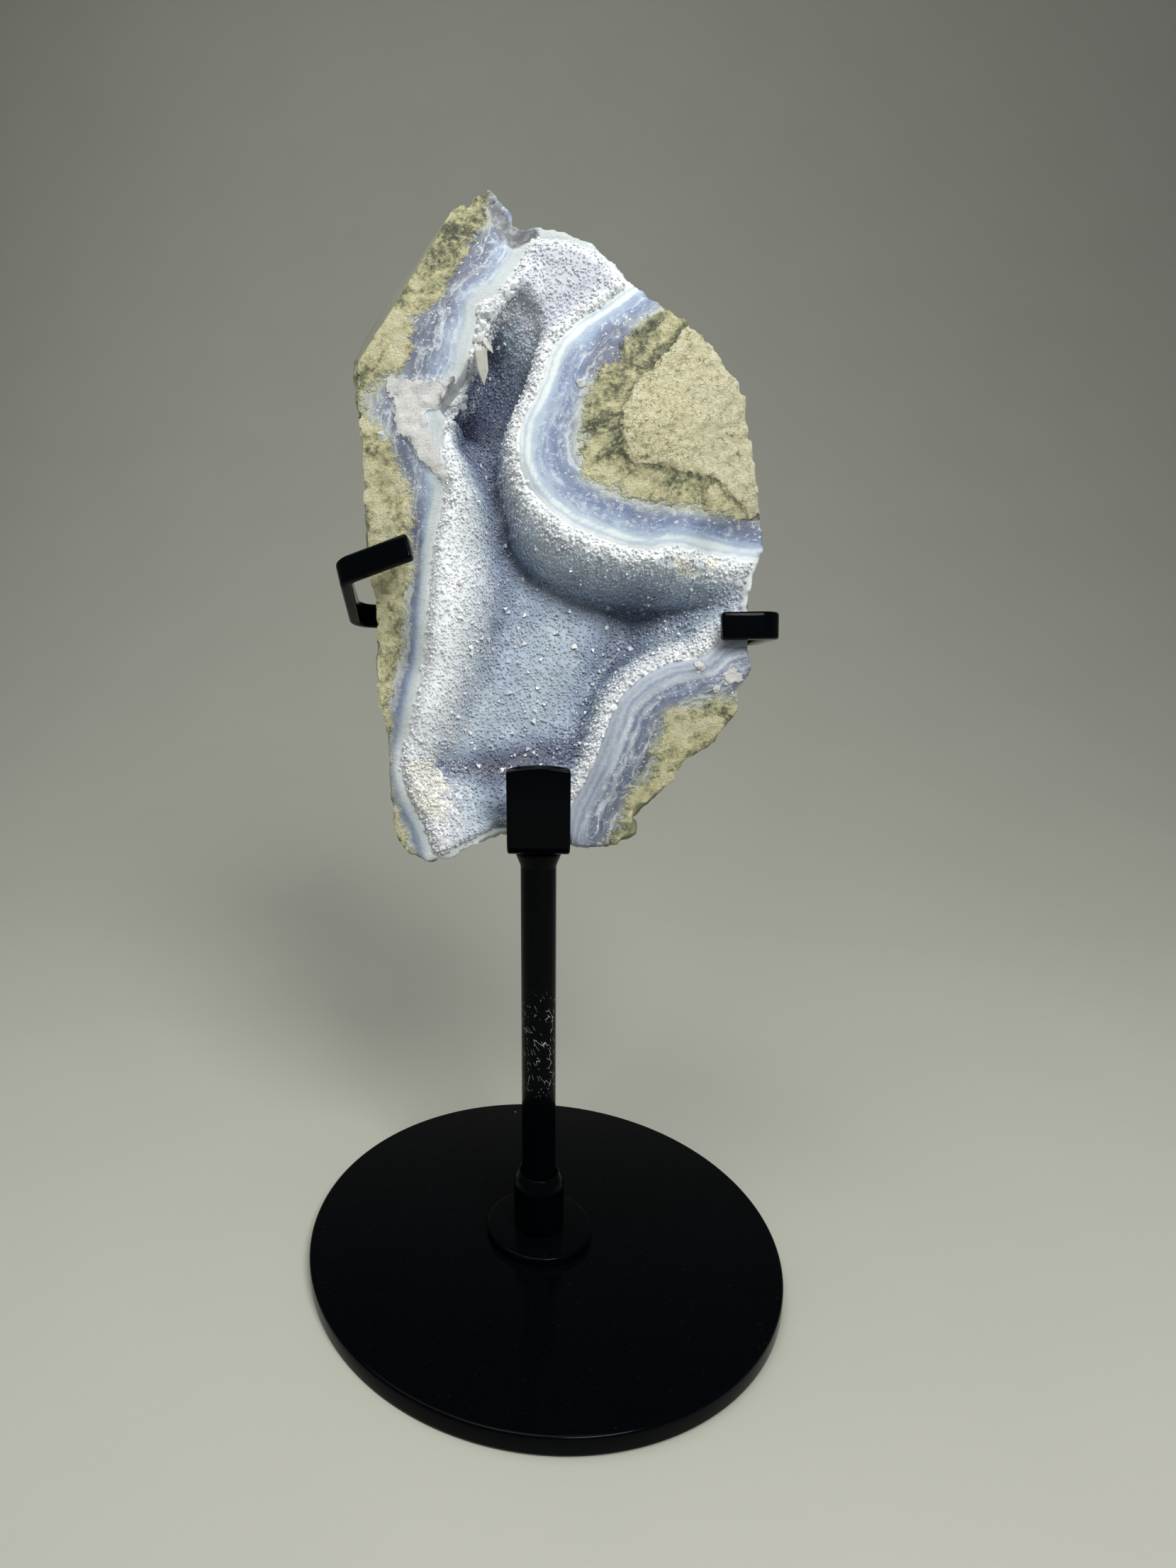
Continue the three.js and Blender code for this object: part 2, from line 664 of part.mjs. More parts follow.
// Each crystal is a flat-sided point over its patch, a little off the middle
function crystalPeak(shell, top, normals, quad, seed) {
  const peak = new THREE.Vector3();
  const out = new THREE.Vector3();
  top.forEach((index) => peak.add(new THREE.Vector3(...shell[index])));
  quad.forEach((index) => out.add(normals[index]));
  peak.multiplyScalar(0.25);
  peak.addScaledVector(out.normalize(), CRYSTAL_HEIGHT * (0.35 + 0.65 * chance(seed + 0.5)));
  peak.x += CRYSTAL_TILT * (chance(seed + 0.25) - 0.5);
  peak.y += CRYSTAL_TILT * (chance(seed + 0.75) - 0.5);
  return peak.toArray();
}

// The one long crystal: a flattened six-sided blade with a point
function bladeCrystal() {
  const root = new THREE.Vector3(...BLADE_ROOT);
  const tip = new THREE.Vector3(...BLADE_TIP);
  const along = tip.clone().sub(root).normalize();
  const flat = new THREE.Vector3(0, 0, 1).cross(along).normalize();
  const thick = along.clone().cross(flat);
  const ring = (part, scale) => Array.from({ length: 6 }, (_, side) => {
    const angle = (side * Math.PI) / 3;
    const middle = root.clone().lerp(tip, part);
    middle.addScaledVector(flat, Math.cos(angle) * BLADE_RADIUS * scale);
    middle.addScaledVector(thick, Math.sin(angle) * BLADE_RADIUS * 0.6 * scale);
    return middle.toArray();
  });
  const points = [...ring(0, 0.9), ...ring(0.55, 1), root.toArray(), tip.toArray()];
  const triangles = [];
  for (let side = 0; side < 6; side += 1) {
    const next = (side + 1) % 6;
    triangles.push([side, next, next + 6], [side, next + 6, side + 6], [next, side, 12], [side + 6, next + 6, 13]);
  }
  return solidFrom(points, triangles);
}

function largestPiece(solid) {
  return solid.decompose().sort((a, b) => b.volume() - a.volume())[0];
}

// Putting the stone in its place

function stoneFrame() {
  const frame = new THREE.Group();
  frame.position.set(...STONE_FOOT);
  frame.rotation.x = THREE.MathUtils.degToRad(90 - STONE_LEAN);
  frame.updateMatrixWorld();
  return frame;
}

// The stand's strips made fatter by the gap, in the stone's frame, to keep the stone clear of them
function clearance(frame) {
  const back = frame.matrixWorld.clone().invert();
  const fat = 2 * TOUCH;
  const cradle = sweptStrip(cradleRoute(), wideSection(STRIP_WIDTH + fat, STRIP_THICKNESS + fat, 6));
  const band = sweptStrip(bandRoute(), chamferedSection(BAND_WIDTH + fat, BAND_THICKNESS + fat, BAND_CHAMFER));
  const parts = [cradle, band].map(({ points, triangles }) => solidFrom(
    points.map((point) => new THREE.Vector3(...point).applyMatrix4(back).toArray()), triangles));
  return parts[0].add(parts[1]);
}

function stoneAndCrust(frame) {
  const { whole, stone } = makeFields();
  const net = surfaceNet(stone, GRID_LOW, GRID_HIGH, CELL);
  const normals = vertexNormals(net.points, net.quads);
  const shell = crustShell(net.points, normals, hollowQuads(net.points, net.quads, whole));
  const room = clearance(frame);
  const agate = solidFrom(net.points, splitQuads(net.points, net.quads)).subtract(room);
  const crust = solidFrom(shell.points, shell.triangles).add(bladeCrystal()).subtract(room);
  return { agate: largestPiece(agate), crust: largestPiece(crust) };
}

const part = new THREE.Group();
part.add(named('base_plate', basePlate(), 'black_paint'));
part.add(named('flange_washer', flangeWasher(), 'black_paint'));
part.add(named('collar', collar(), 'black_paint'));
part.add(named('pole', pole(), 'black_paint'));
const cradle = cradleStrip();
part.add(named('cradle_strip', geometryFrom(cradle.points, cradle.triangles), 'black_paint'));
const band = sideBand();
part.add(named('side_band', geometryFrom(band.points, band.triangles), 'black_paint'));

const frame = stoneFrame();
const { agate, crust } = stoneAndCrust(frame);
frame.add(named('agate', geometryOfSolid(agate), 'banded_agate'));
frame.add(named('quartz_crust', geometryOfSolid(crust), 'druzy_quartz'));
part.add(frame);

export default part;
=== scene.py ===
# %% [markdown]
# # A blue lace agate on its display stand
# The object is half of a small geode: a stone with a knobbly rind, pale blue bands, and a hollow lined
# with fine quartz crystals. A black steel stand holds it up: a round base, a rod, a bent strip under
# the stone, and a narrow band round its back whose two ends show as fingers at the front.
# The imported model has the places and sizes. This script repeats them as named values in millimetres and
# adds the looks.

# %% Load the frame
import itertools
import math
import bpy
import numpy as np
from mathutils import Matrix, Vector


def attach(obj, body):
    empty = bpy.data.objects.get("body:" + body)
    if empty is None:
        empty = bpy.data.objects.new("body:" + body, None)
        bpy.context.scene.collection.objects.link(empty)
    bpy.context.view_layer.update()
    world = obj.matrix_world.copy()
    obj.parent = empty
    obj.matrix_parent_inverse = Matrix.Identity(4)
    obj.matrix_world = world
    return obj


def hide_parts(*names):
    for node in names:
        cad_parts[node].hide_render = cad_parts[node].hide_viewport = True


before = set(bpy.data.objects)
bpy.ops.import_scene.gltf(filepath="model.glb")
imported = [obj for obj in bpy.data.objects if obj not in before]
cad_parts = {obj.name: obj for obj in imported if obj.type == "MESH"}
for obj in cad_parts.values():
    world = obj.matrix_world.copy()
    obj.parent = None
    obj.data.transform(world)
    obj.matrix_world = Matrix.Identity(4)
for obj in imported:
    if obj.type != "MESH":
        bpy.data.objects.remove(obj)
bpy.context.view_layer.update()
MM = 0.001
print("packed model of", len(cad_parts), "nodes")

# %% [markdown]
# ## The camera
# The picture was taken from close by with a wide lens, at the height of the stone's middle and looking a
# little down. A camera could be aimed with a Track To constraint, but that loses its roll. So its view
# and its upright are given as they were worked out from the round base and the straight rod. The small
# shift of the lens stands for a picture whose middle isn't on the lens's own axis.

# %% Camera
CAMERA_PLACE = (0.0, -141.488, 115.363)
CAMERA_AHEAD = Vector((-0.12296, 0.96804, -0.21858))
CAMERA_UP = Vector((0.00134, 0.22042, 0.97540))
CAMERA_LENS = 21.157
CAMERA_SENSOR = 36
CAMERA_SHIFT = 0.1045
NEAREST_SEEN = 0.01


def studio_camera():
    data = bpy.data.cameras.new("studio_camera")
    data.sensor_width = CAMERA_SENSOR
    data.lens = CAMERA_LENS
    data.shift_x = CAMERA_SHIFT
    data.clip_start = NEAREST_SEEN
    camera = bpy.data.objects.new("studio_camera", data)
    bpy.context.scene.collection.objects.link(camera)
    right = CAMERA_AHEAD.cross(CAMERA_UP).normalized()
    up = right.cross(CAMERA_AHEAD).normalized()
    turn = Matrix((right, up, -CAMERA_AHEAD.normalized())).transposed()
    camera.matrix_world = Matrix.Translation(Vector(CAMERA_PLACE) * MM) @ turn.to_4x4()
    return camera


bpy.context.scene.camera = studio_camera()
print("camera at", CAMERA_PLACE, "mm")

# %% [markdown]
# ## Floor, backdrop and light
# A photographer's sweep is one sheet of paper that curves up behind the object, so no line crosses the
# picture. A plane with a Bend modifier would do, but a row of points along a quarter circle is as short
# and its size is exact. The main lamp stands high in front and to the right, a weaker one hangs over the
# stone, and a large one lights the paper from above. A dim grey world keeps the shadows open.

# %% Sweep
SWEEP_WIDTH = 2400
SWEEP_FRONT = -900
SWEEP_BACK = 150
SWEEP_BEND = 520
SWEEP_STEPS = 24
SWEEP_HEIGHT = 1500
FLOOR_GAP = 0.05


def paper_sweep():
    angles = np.linspace(0, math.pi / 2, SWEEP_STEPS)
    bend = [(SWEEP_BACK + SWEEP_BEND * math.sin(a), SWEEP_BEND * (1 - math.cos(a))) for a in angles]
    line = [(SWEEP_FRONT, 0)] + bend + [(SWEEP_BACK + SWEEP_BEND, SWEEP_HEIGHT)]
    sides = (-SWEEP_WIDTH / 2, SWEEP_WIDTH / 2)
    points = [(x * MM, y * MM, (z - FLOOR_GAP) * MM) for y, z in line for x in sides]
    faces = [(2 * i, 2 * i + 1, 2 * i + 3, 2 * i + 2) for i in range(len(line) - 1)]
    mesh = bpy.data.meshes.new("paper_sweep")
    mesh.from_pydata(points, [], faces)
    mesh.shade_smooth()
    sweep = bpy.data.objects.new("paper_sweep", mesh)
    bpy.context.scene.collection.objects.link(sweep)
    return sweep


sweep = paper_sweep()
print("sweep of", len(sweep.data.polygons), "faces")

# %% Lamps and world
WORLD_GREY = 0.12
LAMP_TINT = (1.0, 0.985, 0.93)


def soft_lamp(name, place, target, size, watts):
    """A round lamp in the tint of the picture, aimed at a target."""
    data = bpy.data.lights.new(name, "AREA")
    data.shape = "DISK"
    data.size = size * MM
    data.energy = watts
    data.color = LAMP_TINT
    lamp = bpy.data.objects.new(name, data)
    bpy.context.scene.collection.objects.link(lamp)
    lamp.location = Vector(place) * MM
    aim = (Vector(target) - Vector(place)).to_track_quat("-Z", "Y")
    lamp.rotation_mode = "QUATERNION"
    lamp.rotation_quaternion = aim
    return lamp


soft_lamp("key_lamp", (115, -215, 335), (0, 0, 118), 150, 1.05)
soft_lamp("top_lamp", (-60, -120, 440), (0, 0, 100), 200, 0.35)
soft_lamp("sweep_lamp", (-150, 60, 700), (0, 200, 0), 600, 1.56)
world = bpy.data.worlds.new("soft_grey")
world.use_nodes = True
world.node_tree.nodes["Background"].inputs["Color"].default_value = (WORLD_GREY, WORLD_GREY, WORLD_GREY, 1)
bpy.context.scene.world = world
bpy.context.scene.view_settings.view_transform = "Standard"
print("lamps:", [lamp.name for lamp in bpy.data.lights])

# %% [markdown]
# ## Small tools for materials
# A material is a tree of nodes. They could be placed by hand in the shader editor, but a script can be read
# and run again. Placing each node takes many lines, so a few short helpers place a node, set its values and
# link what goes into it. Colours are given as they look on a screen, from 0 to 255, and turned into the
# linear values that the renderer adds up.

# %% Colours and sums of nodes


def srgb(red, green, blue):
    parts = [c / 255 for c in (red, green, blue)]
    linear = [c / 12.92 if c <= 0.04045 else ((c + 0.055) / 1.055) ** 2.4 for c in parts]
    return (*linear, 1)


def node(tree, kind, inputs=None, **settings):
    made = tree.nodes.new("ShaderNode" + kind)
    for name, value in settings.items():
        setattr(made, name, value)
    for key, value in (inputs or {}).items():
        if isinstance(value, bpy.types.NodeSocket):
            tree.links.new(value, made.inputs[key])
        else:
            made.inputs[key].default_value = value
    return made


def calc(tree, operation, a, b):
    return node(tree, "Math", {0: a, 1: b}, operation=operation).outputs[0]


def times(tree, a, b):
    return calc(tree, "MULTIPLY", a, b)


def plus(tree, a, b):
    return calc(tree, "ADD", a, b)


def one_minus(tree, value):
    return calc(tree, "SUBTRACT", 1.0, value)


def mix(tree, factor, a, b):
    return node(tree, "Mix", {0: factor, 6: a, 7: b}, data_type="RGBA").outputs[2]


def blend_values(tree, factor, a, b):
    """The same for plain numbers, such as a roughness."""
    return node(tree, "Mix", {0: factor, 2: a, 3: b}, data_type="FLOAT").outputs[0]


def rise(tree, value, low, high):
    """0 below low, 1 above high, smooth between."""
    inputs = {"Value": value, "From Min": low, "From Max": high}
    return node(tree, "MapRange", inputs, interpolation_type="SMOOTHSTEP").outputs[0]


def ramp(tree, factor, stops):
    """A colour for each number from 0 to 1, from (position, colour) stops."""
    made = node(tree, "ValToRGB", {0: factor})
    elements = made.color_ramp.elements
    elements[0].position, elements[0].color = stops[0][0], stops[0][1]
    elements[1].position, elements[1].color = stops[-1][0], stops[-1][1]
    for position, colour in stops[1:-1]:
        elements.new(position).color = colour
    return made.outputs[0]


print("a grey of 128 on the screen is", round(srgb(128, 128, 128)[0], 3), "in light")

# %% Textures and stored values


def noise(tree, vector, scale, detail=2.0, roughness=0.5):
    inputs = {"Vector": vector, "Scale": scale, "Detail": detail, "Roughness": roughness}
    return node(tree, "TexNoise", inputs).outputs[0]


def stretched(tree, vector, scale):
    """The same place with each axis scaled by its own amount."""
    return node(tree, "VectorMath", {0: vector, 1: scale}, operation="MULTIPLY").outputs[0]


def value_of(tree, name):
    return node(tree, "Attribute", attribute_name=name).outputs["Fac"]


def vector_of(tree, name):
    return node(tree, "Attribute", attribute_name=name).outputs["Vector"]


def millimetres(tree):
    """A point's place on the object, in millimetres."""
    place = node(tree, "TexCoord").outputs["Object"]
    return stretched(tree, place, (1 / MM, 1 / MM, 1 / MM))


def centred(tree, vector, scale, detail, amount):
    """Noise about zero, in the unit of what it is added to."""
    return times(tree, calc(tree, "SUBTRACT", noise(tree, vector, scale, detail, 0.6), 0.5), amount)


def glitter(tree, place, per_mm, amount):
    """A normal that is tilted at random in each small cell, as in a crowd of facets."""
    colour = node(tree, "TexVoronoi", {"Vector": place, "Scale": per_mm}).outputs["Color"]
    tilt = node(tree, "VectorMath", {0: colour, 1: (0.5, 0.5, 0.5)}, operation="SUBTRACT").outputs[0]
    scaled = node(tree, "VectorMath", {0: tilt, "Scale": amount}, operation="SCALE").outputs[0]
    normal = node(tree, "NewGeometry").outputs["Normal"]
    summed = node(tree, "VectorMath", {0: normal, 1: scaled}, operation="ADD").outputs[0]
    return node(tree, "VectorMath", {0: summed}, operation="NORMALIZE").outputs[0]


print("one texture cell of scale 1 is 1 mm wide")

# %% New materials and groups


def new_material(name):
    made = bpy.data.materials.new(name)
    made.use_nodes = True
    tree = made.node_tree
    return made, tree, tree.nodes["Principled BSDF"]


def new_group(name, inputs, outputs):
    """A node group with number and vector inputs, and outputs that are numbers or colours."""
    group = bpy.data.node_groups.new(name, "ShaderNodeTree")
    for label, kind in inputs:
        group.interface.new_socket(label, in_out="INPUT", socket_type="NodeSocket" + kind)
    for label, kind in outputs:
        group.interface.new_socket(label, in_out="OUTPUT", socket_type="NodeSocket" + kind)
    return group, group.nodes.new("NodeGroupInput").outputs, group.nodes.new("NodeGroupOutput").inputs


def use_group(tree, group, inputs):
    return node(tree, "Group", inputs, node_tree=group).outputs


def link(tree, source, shader, socket):
    tree.links.new(source, shader.inputs[socket])


def add_bump(tree, shader, height):
    """Height is in millimetres."""
    bump = node(tree, "Bump", {"Height": height, "Distance": MM})
    link(tree, bump.outputs[0], shader, "Normal")


def let_light_in(shader, weight, radii):
    """Lets light into the stone, to come out again about a millimetre away."""
    shader.inputs["Subsurface Weight"].default_value = weight
    shader.inputs["Subsurface Radius"].default_value = radii
    shader.inputs["Subsurface Scale"].default_value = MM


print("a bump of height 1 stands", MM, "m out")

# %% [markdown]
# ## Paper
# The paper of the sweep is a warm light grey, dull and faintly cloudy. A photo of paper could be laid on it,
# but two noises do as well: a large one for the clouds and a small one for the tooth of the sheet.

# %% Paper of the sweep
PAPER_GREY = srgb(188, 190, 182)
PAPER_SHADE = srgb(182, 184, 176)


def paper_material():
    material, tree, shader = new_material("sweep_paper")
    place = millimetres(tree)
    colour = mix(tree, noise(tree, place, 0.02, 3.0), PAPER_GREY, PAPER_SHADE)
    link(tree, colour, shader, "Base Color")
    shader.inputs["Roughness"].default_value = 0.9
    shader.inputs["Specular IOR Level"].default_value = 0.1
    add_bump(tree, shader, times(tree, noise(tree, place, 0.4, 3.0), 0.05))
    return material


sweep.data.materials.append(paper_material())
print("paper:", sweep.data.materials[0].name)

# %% [markdown]
# ## Effects that several materials share
# Dust settles on whatever faces up, and the stone's skin and core are both packed grains. Such an effect
# could be copied into each material, but then a change has to be made in every copy. So each is built once
# as a node group with named sockets, and a material places it with its own values.

# %% Grain and dust groups
GRAIN_WOBBLE = (0.9, 0.9, 0.9)


def grain_group():
    """Packed grains: a random shade for each, the dark joints between them, and their height."""
    group, given, put = new_group(
        "grains", [("Place", "Vector"), ("Size", "Float")],
        [("Shade", "Float"), ("Joint", "Float"), ("Height", "Float")])
    per_size = calc(group, "DIVIDE", 1.0, given["Size"])
    wobble = node(group, "TexNoise", {"Vector": given["Place"], "Scale": 0.9, "Detail": 2.0})
    inputs = {0: wobble.outputs["Color"], 1: GRAIN_WOBBLE, 2: given["Place"]}
    moved = node(group, "VectorMath", inputs, operation="MULTIPLY_ADD")
    packing = {"Vector": moved.outputs[0], "Scale": per_size}
    cells = node(group, "TexVoronoi", packing)
    edges = node(group, "TexVoronoi", packing, feature="DISTANCE_TO_EDGE")
    shade = node(group, "SeparateColor", {0: cells.outputs["Color"]}).outputs[0]
    group.links.new(shade, put["Shade"])
    joint = one_minus(group, rise(group, edges.outputs["Distance"], 0.0, 0.12))
    group.links.new(joint, put["Joint"])
    group.links.new(calc(group, "SUBTRACT", shade, joint), put["Height"])
    return group


def dust_group():
    """Fine dust on what faces up, as a mask: a thin film with single specks."""
    group, given, put = new_group("dust", [("Place", "Vector"), ("Share", "Float")], [("Mask", "Float")])
    up = node(group, "SeparateXYZ", {0: node(group, "NewGeometry").outputs["Normal"]}).outputs[2]
    fine = noise(group, given["Place"], 1.6, 3.0, 0.7)
    cells = node(group, "TexVoronoi", {"Vector": given["Place"], "Scale": 0.22})
    drawn = node(group, "SeparateColor", {0: cells.outputs["Color"]}).outputs[1]
    shown = calc(group, "LESS_THAN", drawn, given["Share"])
    dot = times(group, shown, calc(group, "LESS_THAN", cells.outputs["Distance"], 0.05))
    film = times(group, rise(group, fine, 0.62, 0.9), 0.12)
    both = calc(group, "MAXIMUM", dot, film)
    group.links.new(times(group, both, rise(group, up, 0.5, 0.95)), put["Mask"])
    return group


GRAINS = grain_group()
DUST = dust_group()
print("groups:", [g.name for g in bpy.data.node_groups])

# %% [markdown]
# ## Black paint
# The stand is steel with a smooth, glossy black paint. Where the rod was handled there are short pale
# scratches, and a few specks of dust lie on the base. A drawn image could hold the scratches, but the thin
# borders of stretched cells, broken up by noise, look the same and have no seam. One black colour would
# look cut out, so the gloss changes a little over the surface and the paint has the faint ripple of
# sprayed lacquer.

# %% Paint material
PAINT_BLACK = srgb(2, 4, 6)
DUST_GREY = srgb(120, 126, 130)
PAINT_BLUE = srgb(4, 7, 10)
SCRATCH_GREY = srgb(150, 156, 160)
SCRATCHED_HEIGHTS = (30, 50)


def scratch_mask(tree, place, low, high):
    """Short thin scratches between two heights."""
    height = node(tree, "SeparateXYZ", {0: place}).outputs[2]
    below_top = one_minus(tree, rise(tree, height, high - 3, high))
    inside = times(tree, rise(tree, height, low, low + 3), below_top)
    slanted = node(tree, "VectorRotate", {"Vector": place, "Angle": 0.5}, rotation_type="Y_AXIS").outputs[0]
    cells = {"Vector": stretched(tree, slanted, (1.3, 1.3, 0.42)), "Scale": 1.0}
    borders = node(tree, "TexVoronoi", cells, feature="DISTANCE_TO_EDGE").outputs["Distance"]
    thin = calc(tree, "LESS_THAN", borders, 0.028)
    broken = calc(tree, "GREATER_THAN", noise(tree, place, 0.9, 3.0), 0.56)
    return times(tree, times(tree, thin, broken), inside)


def paint_material(name, scratched=None, dust=0.05):
    material, tree, shader = new_material(name)
    place = millimetres(tree)
    colour = mix(tree, noise(tree, place, 0.05, 2.0), PAINT_BLACK, PAINT_BLUE)
    settled = use_group(tree, DUST, {"Place": place, "Share": dust})["Mask"]
    colour = mix(tree, settled, colour, DUST_GREY)
    rough = blend_values(tree, noise(tree, place, 0.12, 3.0), 0.08, 0.16)
    if scratched:
        worn = scratch_mask(tree, place, *scratched)
        colour = mix(tree, worn, colour, SCRATCH_GREY)
        rough = blend_values(tree, worn, rough, 0.6)
    rough = blend_values(tree, settled, rough, 0.8)
    link(tree, colour, shader, "Base Color")
    link(tree, rough, shader, "Roughness")
    shader.inputs["Specular IOR Level"].default_value = 0.05
    ripple = times(tree, noise(tree, place, 0.9, 2.0), 0.012)
    add_bump(tree, shader, ripple)
    return material


black_paint = paint_material("black_paint_base")
scuffed_paint = paint_material("black_paint_rod", scratched=SCRATCHED_HEIGHTS, dust=0.0)
strip_paint = paint_material("black_paint_strip", dust=0.0)
print("paints:", black_paint.name, scuffed_paint.name, strip_paint.name)

# %% [markdown]
# ## Turned parts of the stand
# The base, washer, collar and rod are all round, as if turned on a lathe. Blender has a Screw modifier for
# that, but a ring of points per profile point is as short and gives exact ends. Each profile is a list
# of corners, and each outer corner is rounded with a small arc, because a painted edge is never sharp
# and its thin line of light is what makes it read as metal.

# %% Rounded profiles
CORNER_STEPS = 5


def rounded_corner(before, corner, after, radius):
    """The corner as a small arc that leaves both of its edges smoothly."""
    before, corner, after = (np.array(p, float) for p in (before, corner, after))
    back = (before - corner) / np.linalg.norm(before - corner)
    on = (after - corner) / np.linalg.norm(after - corner)
    half = math.acos(float(np.clip(back @ on, -1, 1))) / 2
    start = corner + back * radius / math.tan(half)
    centre = corner + (back + on) / np.linalg.norm(back + on) * radius / math.sin(half)
    end = corner + on * radius / math.tan(half)
    turn = math.pi - 2 * half
    side = np.sign((start - centre)[0] * (end - centre)[1] - (start - centre)[1] * (end - centre)[0])
    arc = []
    for step in range(CORNER_STEPS + 1):
        angle = side * turn * step / CORNER_STEPS
        x, y = start - centre
        arc.append((centre[0] + x * math.cos(angle) - y * math.sin(angle),
                    centre[1] + x * math.sin(angle) + y * math.cos(angle)))
    return arc


def rounded_profile(corners):
    """Corners are (radius, height, rounding). A rounding of 0 keeps the corner."""
    line = []
    for i, (r, z, rounding) in enumerate(corners):
        if rounding:
            before = corners[i - 1][:2]
            after = corners[(i + 1) % len(corners)][:2]
            line += rounded_corner(before, (r, z), after, rounding)
        else:
            line.append((r, z))
    return line


print("a rounded corner has", len(rounded_corner((0, 0), (1, 0), (1, 1), 0.2)), "points")

# %% Pieces and turned pieces
TURNED_SHARP = math.radians(40)


def show(name, points, faces, material, replaced=(), smooth=True):
    """A mesh in millimetres as a finished piece that rides on the one body."""
    mesh = bpy.data.meshes.new(name)
    mesh.from_pydata(np.asarray(points, float) * MM, [], faces)
    mesh.materials.append(material)
    if smooth:
        mesh.shade_smooth()
    piece = bpy.data.objects.new(name, mesh)
    bpy.context.scene.collection.objects.link(piece)
    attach(piece, "root")
    if replaced:
        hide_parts(*replaced)
    return piece


def turned_piece(name, corners, segments, material):
    """Turns a profile about the Z axis. One that starts on the axis also ends there and makes a solid."""
    line = rounded_profile(corners)
    solid = line[0][0] == 0
    inner = line[1:-1] if solid else line
    angles = [2 * math.pi * s / segments for s in range(segments)]
    points = [(r * math.cos(a), r * math.sin(a), z) for r, z in inner for a in angles]
    rings = len(inner)
    pairs = [(i, i + 1) for i in range(rings - 1)] + ([] if solid else [(rings - 1, 0)])
    faces = []
    for low, high in pairs:
        for s in range(segments):
            n = (s + 1) % segments
            faces.append((low * segments + s, low * segments + n, high * segments + n, high * segments + s))
    if solid:
        bottom, top = len(points), len(points) + 1
        points += [(0, 0, line[0][1]), (0, 0, line[-1][1])]
        last = (rings - 1) * segments
        for s in range(segments):
            n = (s + 1) % segments
            faces += [(bottom, n, s), (top, last + s, last + n)]
    piece = show(name, points, faces, material, [name.replace("_piece", "")])
    piece.data.set_sharp_from_angle(angle=TURNED_SHARP)
    return piece


print("edges sharper than", round(math.degrees(TURNED_SHARP)), "degrees stay sharp")

# %% Base, washer, collar and rod
BASE_RADIUS = 40
BASE_THICKNESS = 3.2
BASE_EDGE = 0.5
WASHER_RADIUS = 9
WASHER_THICKNESS = 1.5
COLLAR_RADIUS = 4.3
COLLAR_TOP = 15.2
COLLAR_SHOULDER = 2
COLLAR_FOOT = 0.6
POLE_RADIUS = 2.85
TOUCH = 0.3
SEAT_TOP = 75.2
STRIP_THICKNESS = 2.1
WELD_HEIGHT = 2.6
WELD_RADIUS = 3.7
LATHE_STEPS = {"base": 192, "washer": 96, "collar": 72, "rod": 64}

base_top = BASE_THICKNESS
washer_low = base_top + TOUCH / 3
washer_top = washer_low + WASHER_THICKNESS
collar_low = base_top + WASHER_THICKNESS + TOUCH
collar_full = COLLAR_TOP - COLLAR_SHOULDER
hole = POLE_RADIUS + TOUCH
rod_top = SEAT_TOP - STRIP_THICKNESS - TOUCH

turned_piece("base_plate_piece", [
    (0, 0, 0), (BASE_RADIUS, 0, BASE_EDGE), (BASE_RADIUS, base_top, BASE_EDGE), (0, base_top, 0),
], LATHE_STEPS["base"], black_paint)
turned_piece("flange_washer_piece", [
    (hole, washer_low, 0), (WASHER_RADIUS, washer_low, 0.1), (WASHER_RADIUS, washer_top, 0.35),
    (hole, washer_top, 0),
], LATHE_STEPS["washer"], black_paint)
turned_piece("collar_piece", [
    (hole, collar_low, 0), (COLLAR_RADIUS - COLLAR_FOOT, collar_low, 0.1),
    (COLLAR_RADIUS, collar_low + COLLAR_FOOT, 0.25), (COLLAR_RADIUS, collar_full, 0.5),
    (COLLAR_RADIUS - 0.35, collar_full + 0.9, 0.4), (hole + 0.2, COLLAR_TOP, 0.2), (hole, COLLAR_TOP, 0),
], LATHE_STEPS["collar"], black_paint)
turned_piece("pole_piece", [
    (0, base_top + TOUCH, 0), (POLE_RADIUS, base_top + TOUCH, 0.1), (POLE_RADIUS, rod_top - WELD_HEIGHT, 2.0),
    (WELD_RADIUS, rod_top - 0.5, 0.3), (WELD_RADIUS, rod_top, 0.1), (0, rod_top, 0),
], LATHE_STEPS["rod"], scuffed_paint)

# %% [markdown]
# ## Bent strips of the stand
# The cradle is one flat strip: a prong in front of the stone, a seat under it and a spine behind it. The
# side band is narrower and goes round the back, so that its ends reach over the front as two fingers.
# A curve with a bevel profile would twist at the bends, so each strip is swept in code along a route
# whose corners are arcs, with a section whose four edges are rounded. The free ends are closed with a
# few shrinking rings, which rounds them like a filed edge.

# %% Routes and sections
BEND_STEPS = 10
EDGE_TURNS = (0, 30, 60, 90)
STRIP_COLUMNS = 8


def unit(vector):
    return np.asarray(vector, float) / np.linalg.norm(vector)


def route_stops(corners):
    """Each inner corner becomes an arc. A stop is a place and the direction of the strip's width."""
    stops = []
    for i, (place, across, radius) in enumerate(corners):
        here = np.array(place, float)
        if not radius:
            stops.append((here, np.array(across, float)))
            continue
        before = unit(np.array(corners[i - 1][0], float) - here)
        after = unit(np.array(corners[i + 1][0], float) - here)
        half = math.acos(float(before @ after)) / 2
        reach = radius / math.tan(half)
        centre = here + unit(before + after) * radius / math.sin(half)
        first = here + before * reach - centre
        last = here + after * reach - centre
        turn = math.pi - 2 * half
        for step in range(BEND_STEPS + 1):
            part = step / BEND_STEPS
            swing = (math.sin((1 - part) * turn) * first + math.sin(part * turn) * last) / math.sin(turn)
            stops.append((centre + swing, np.array(across, float)))
    return stops


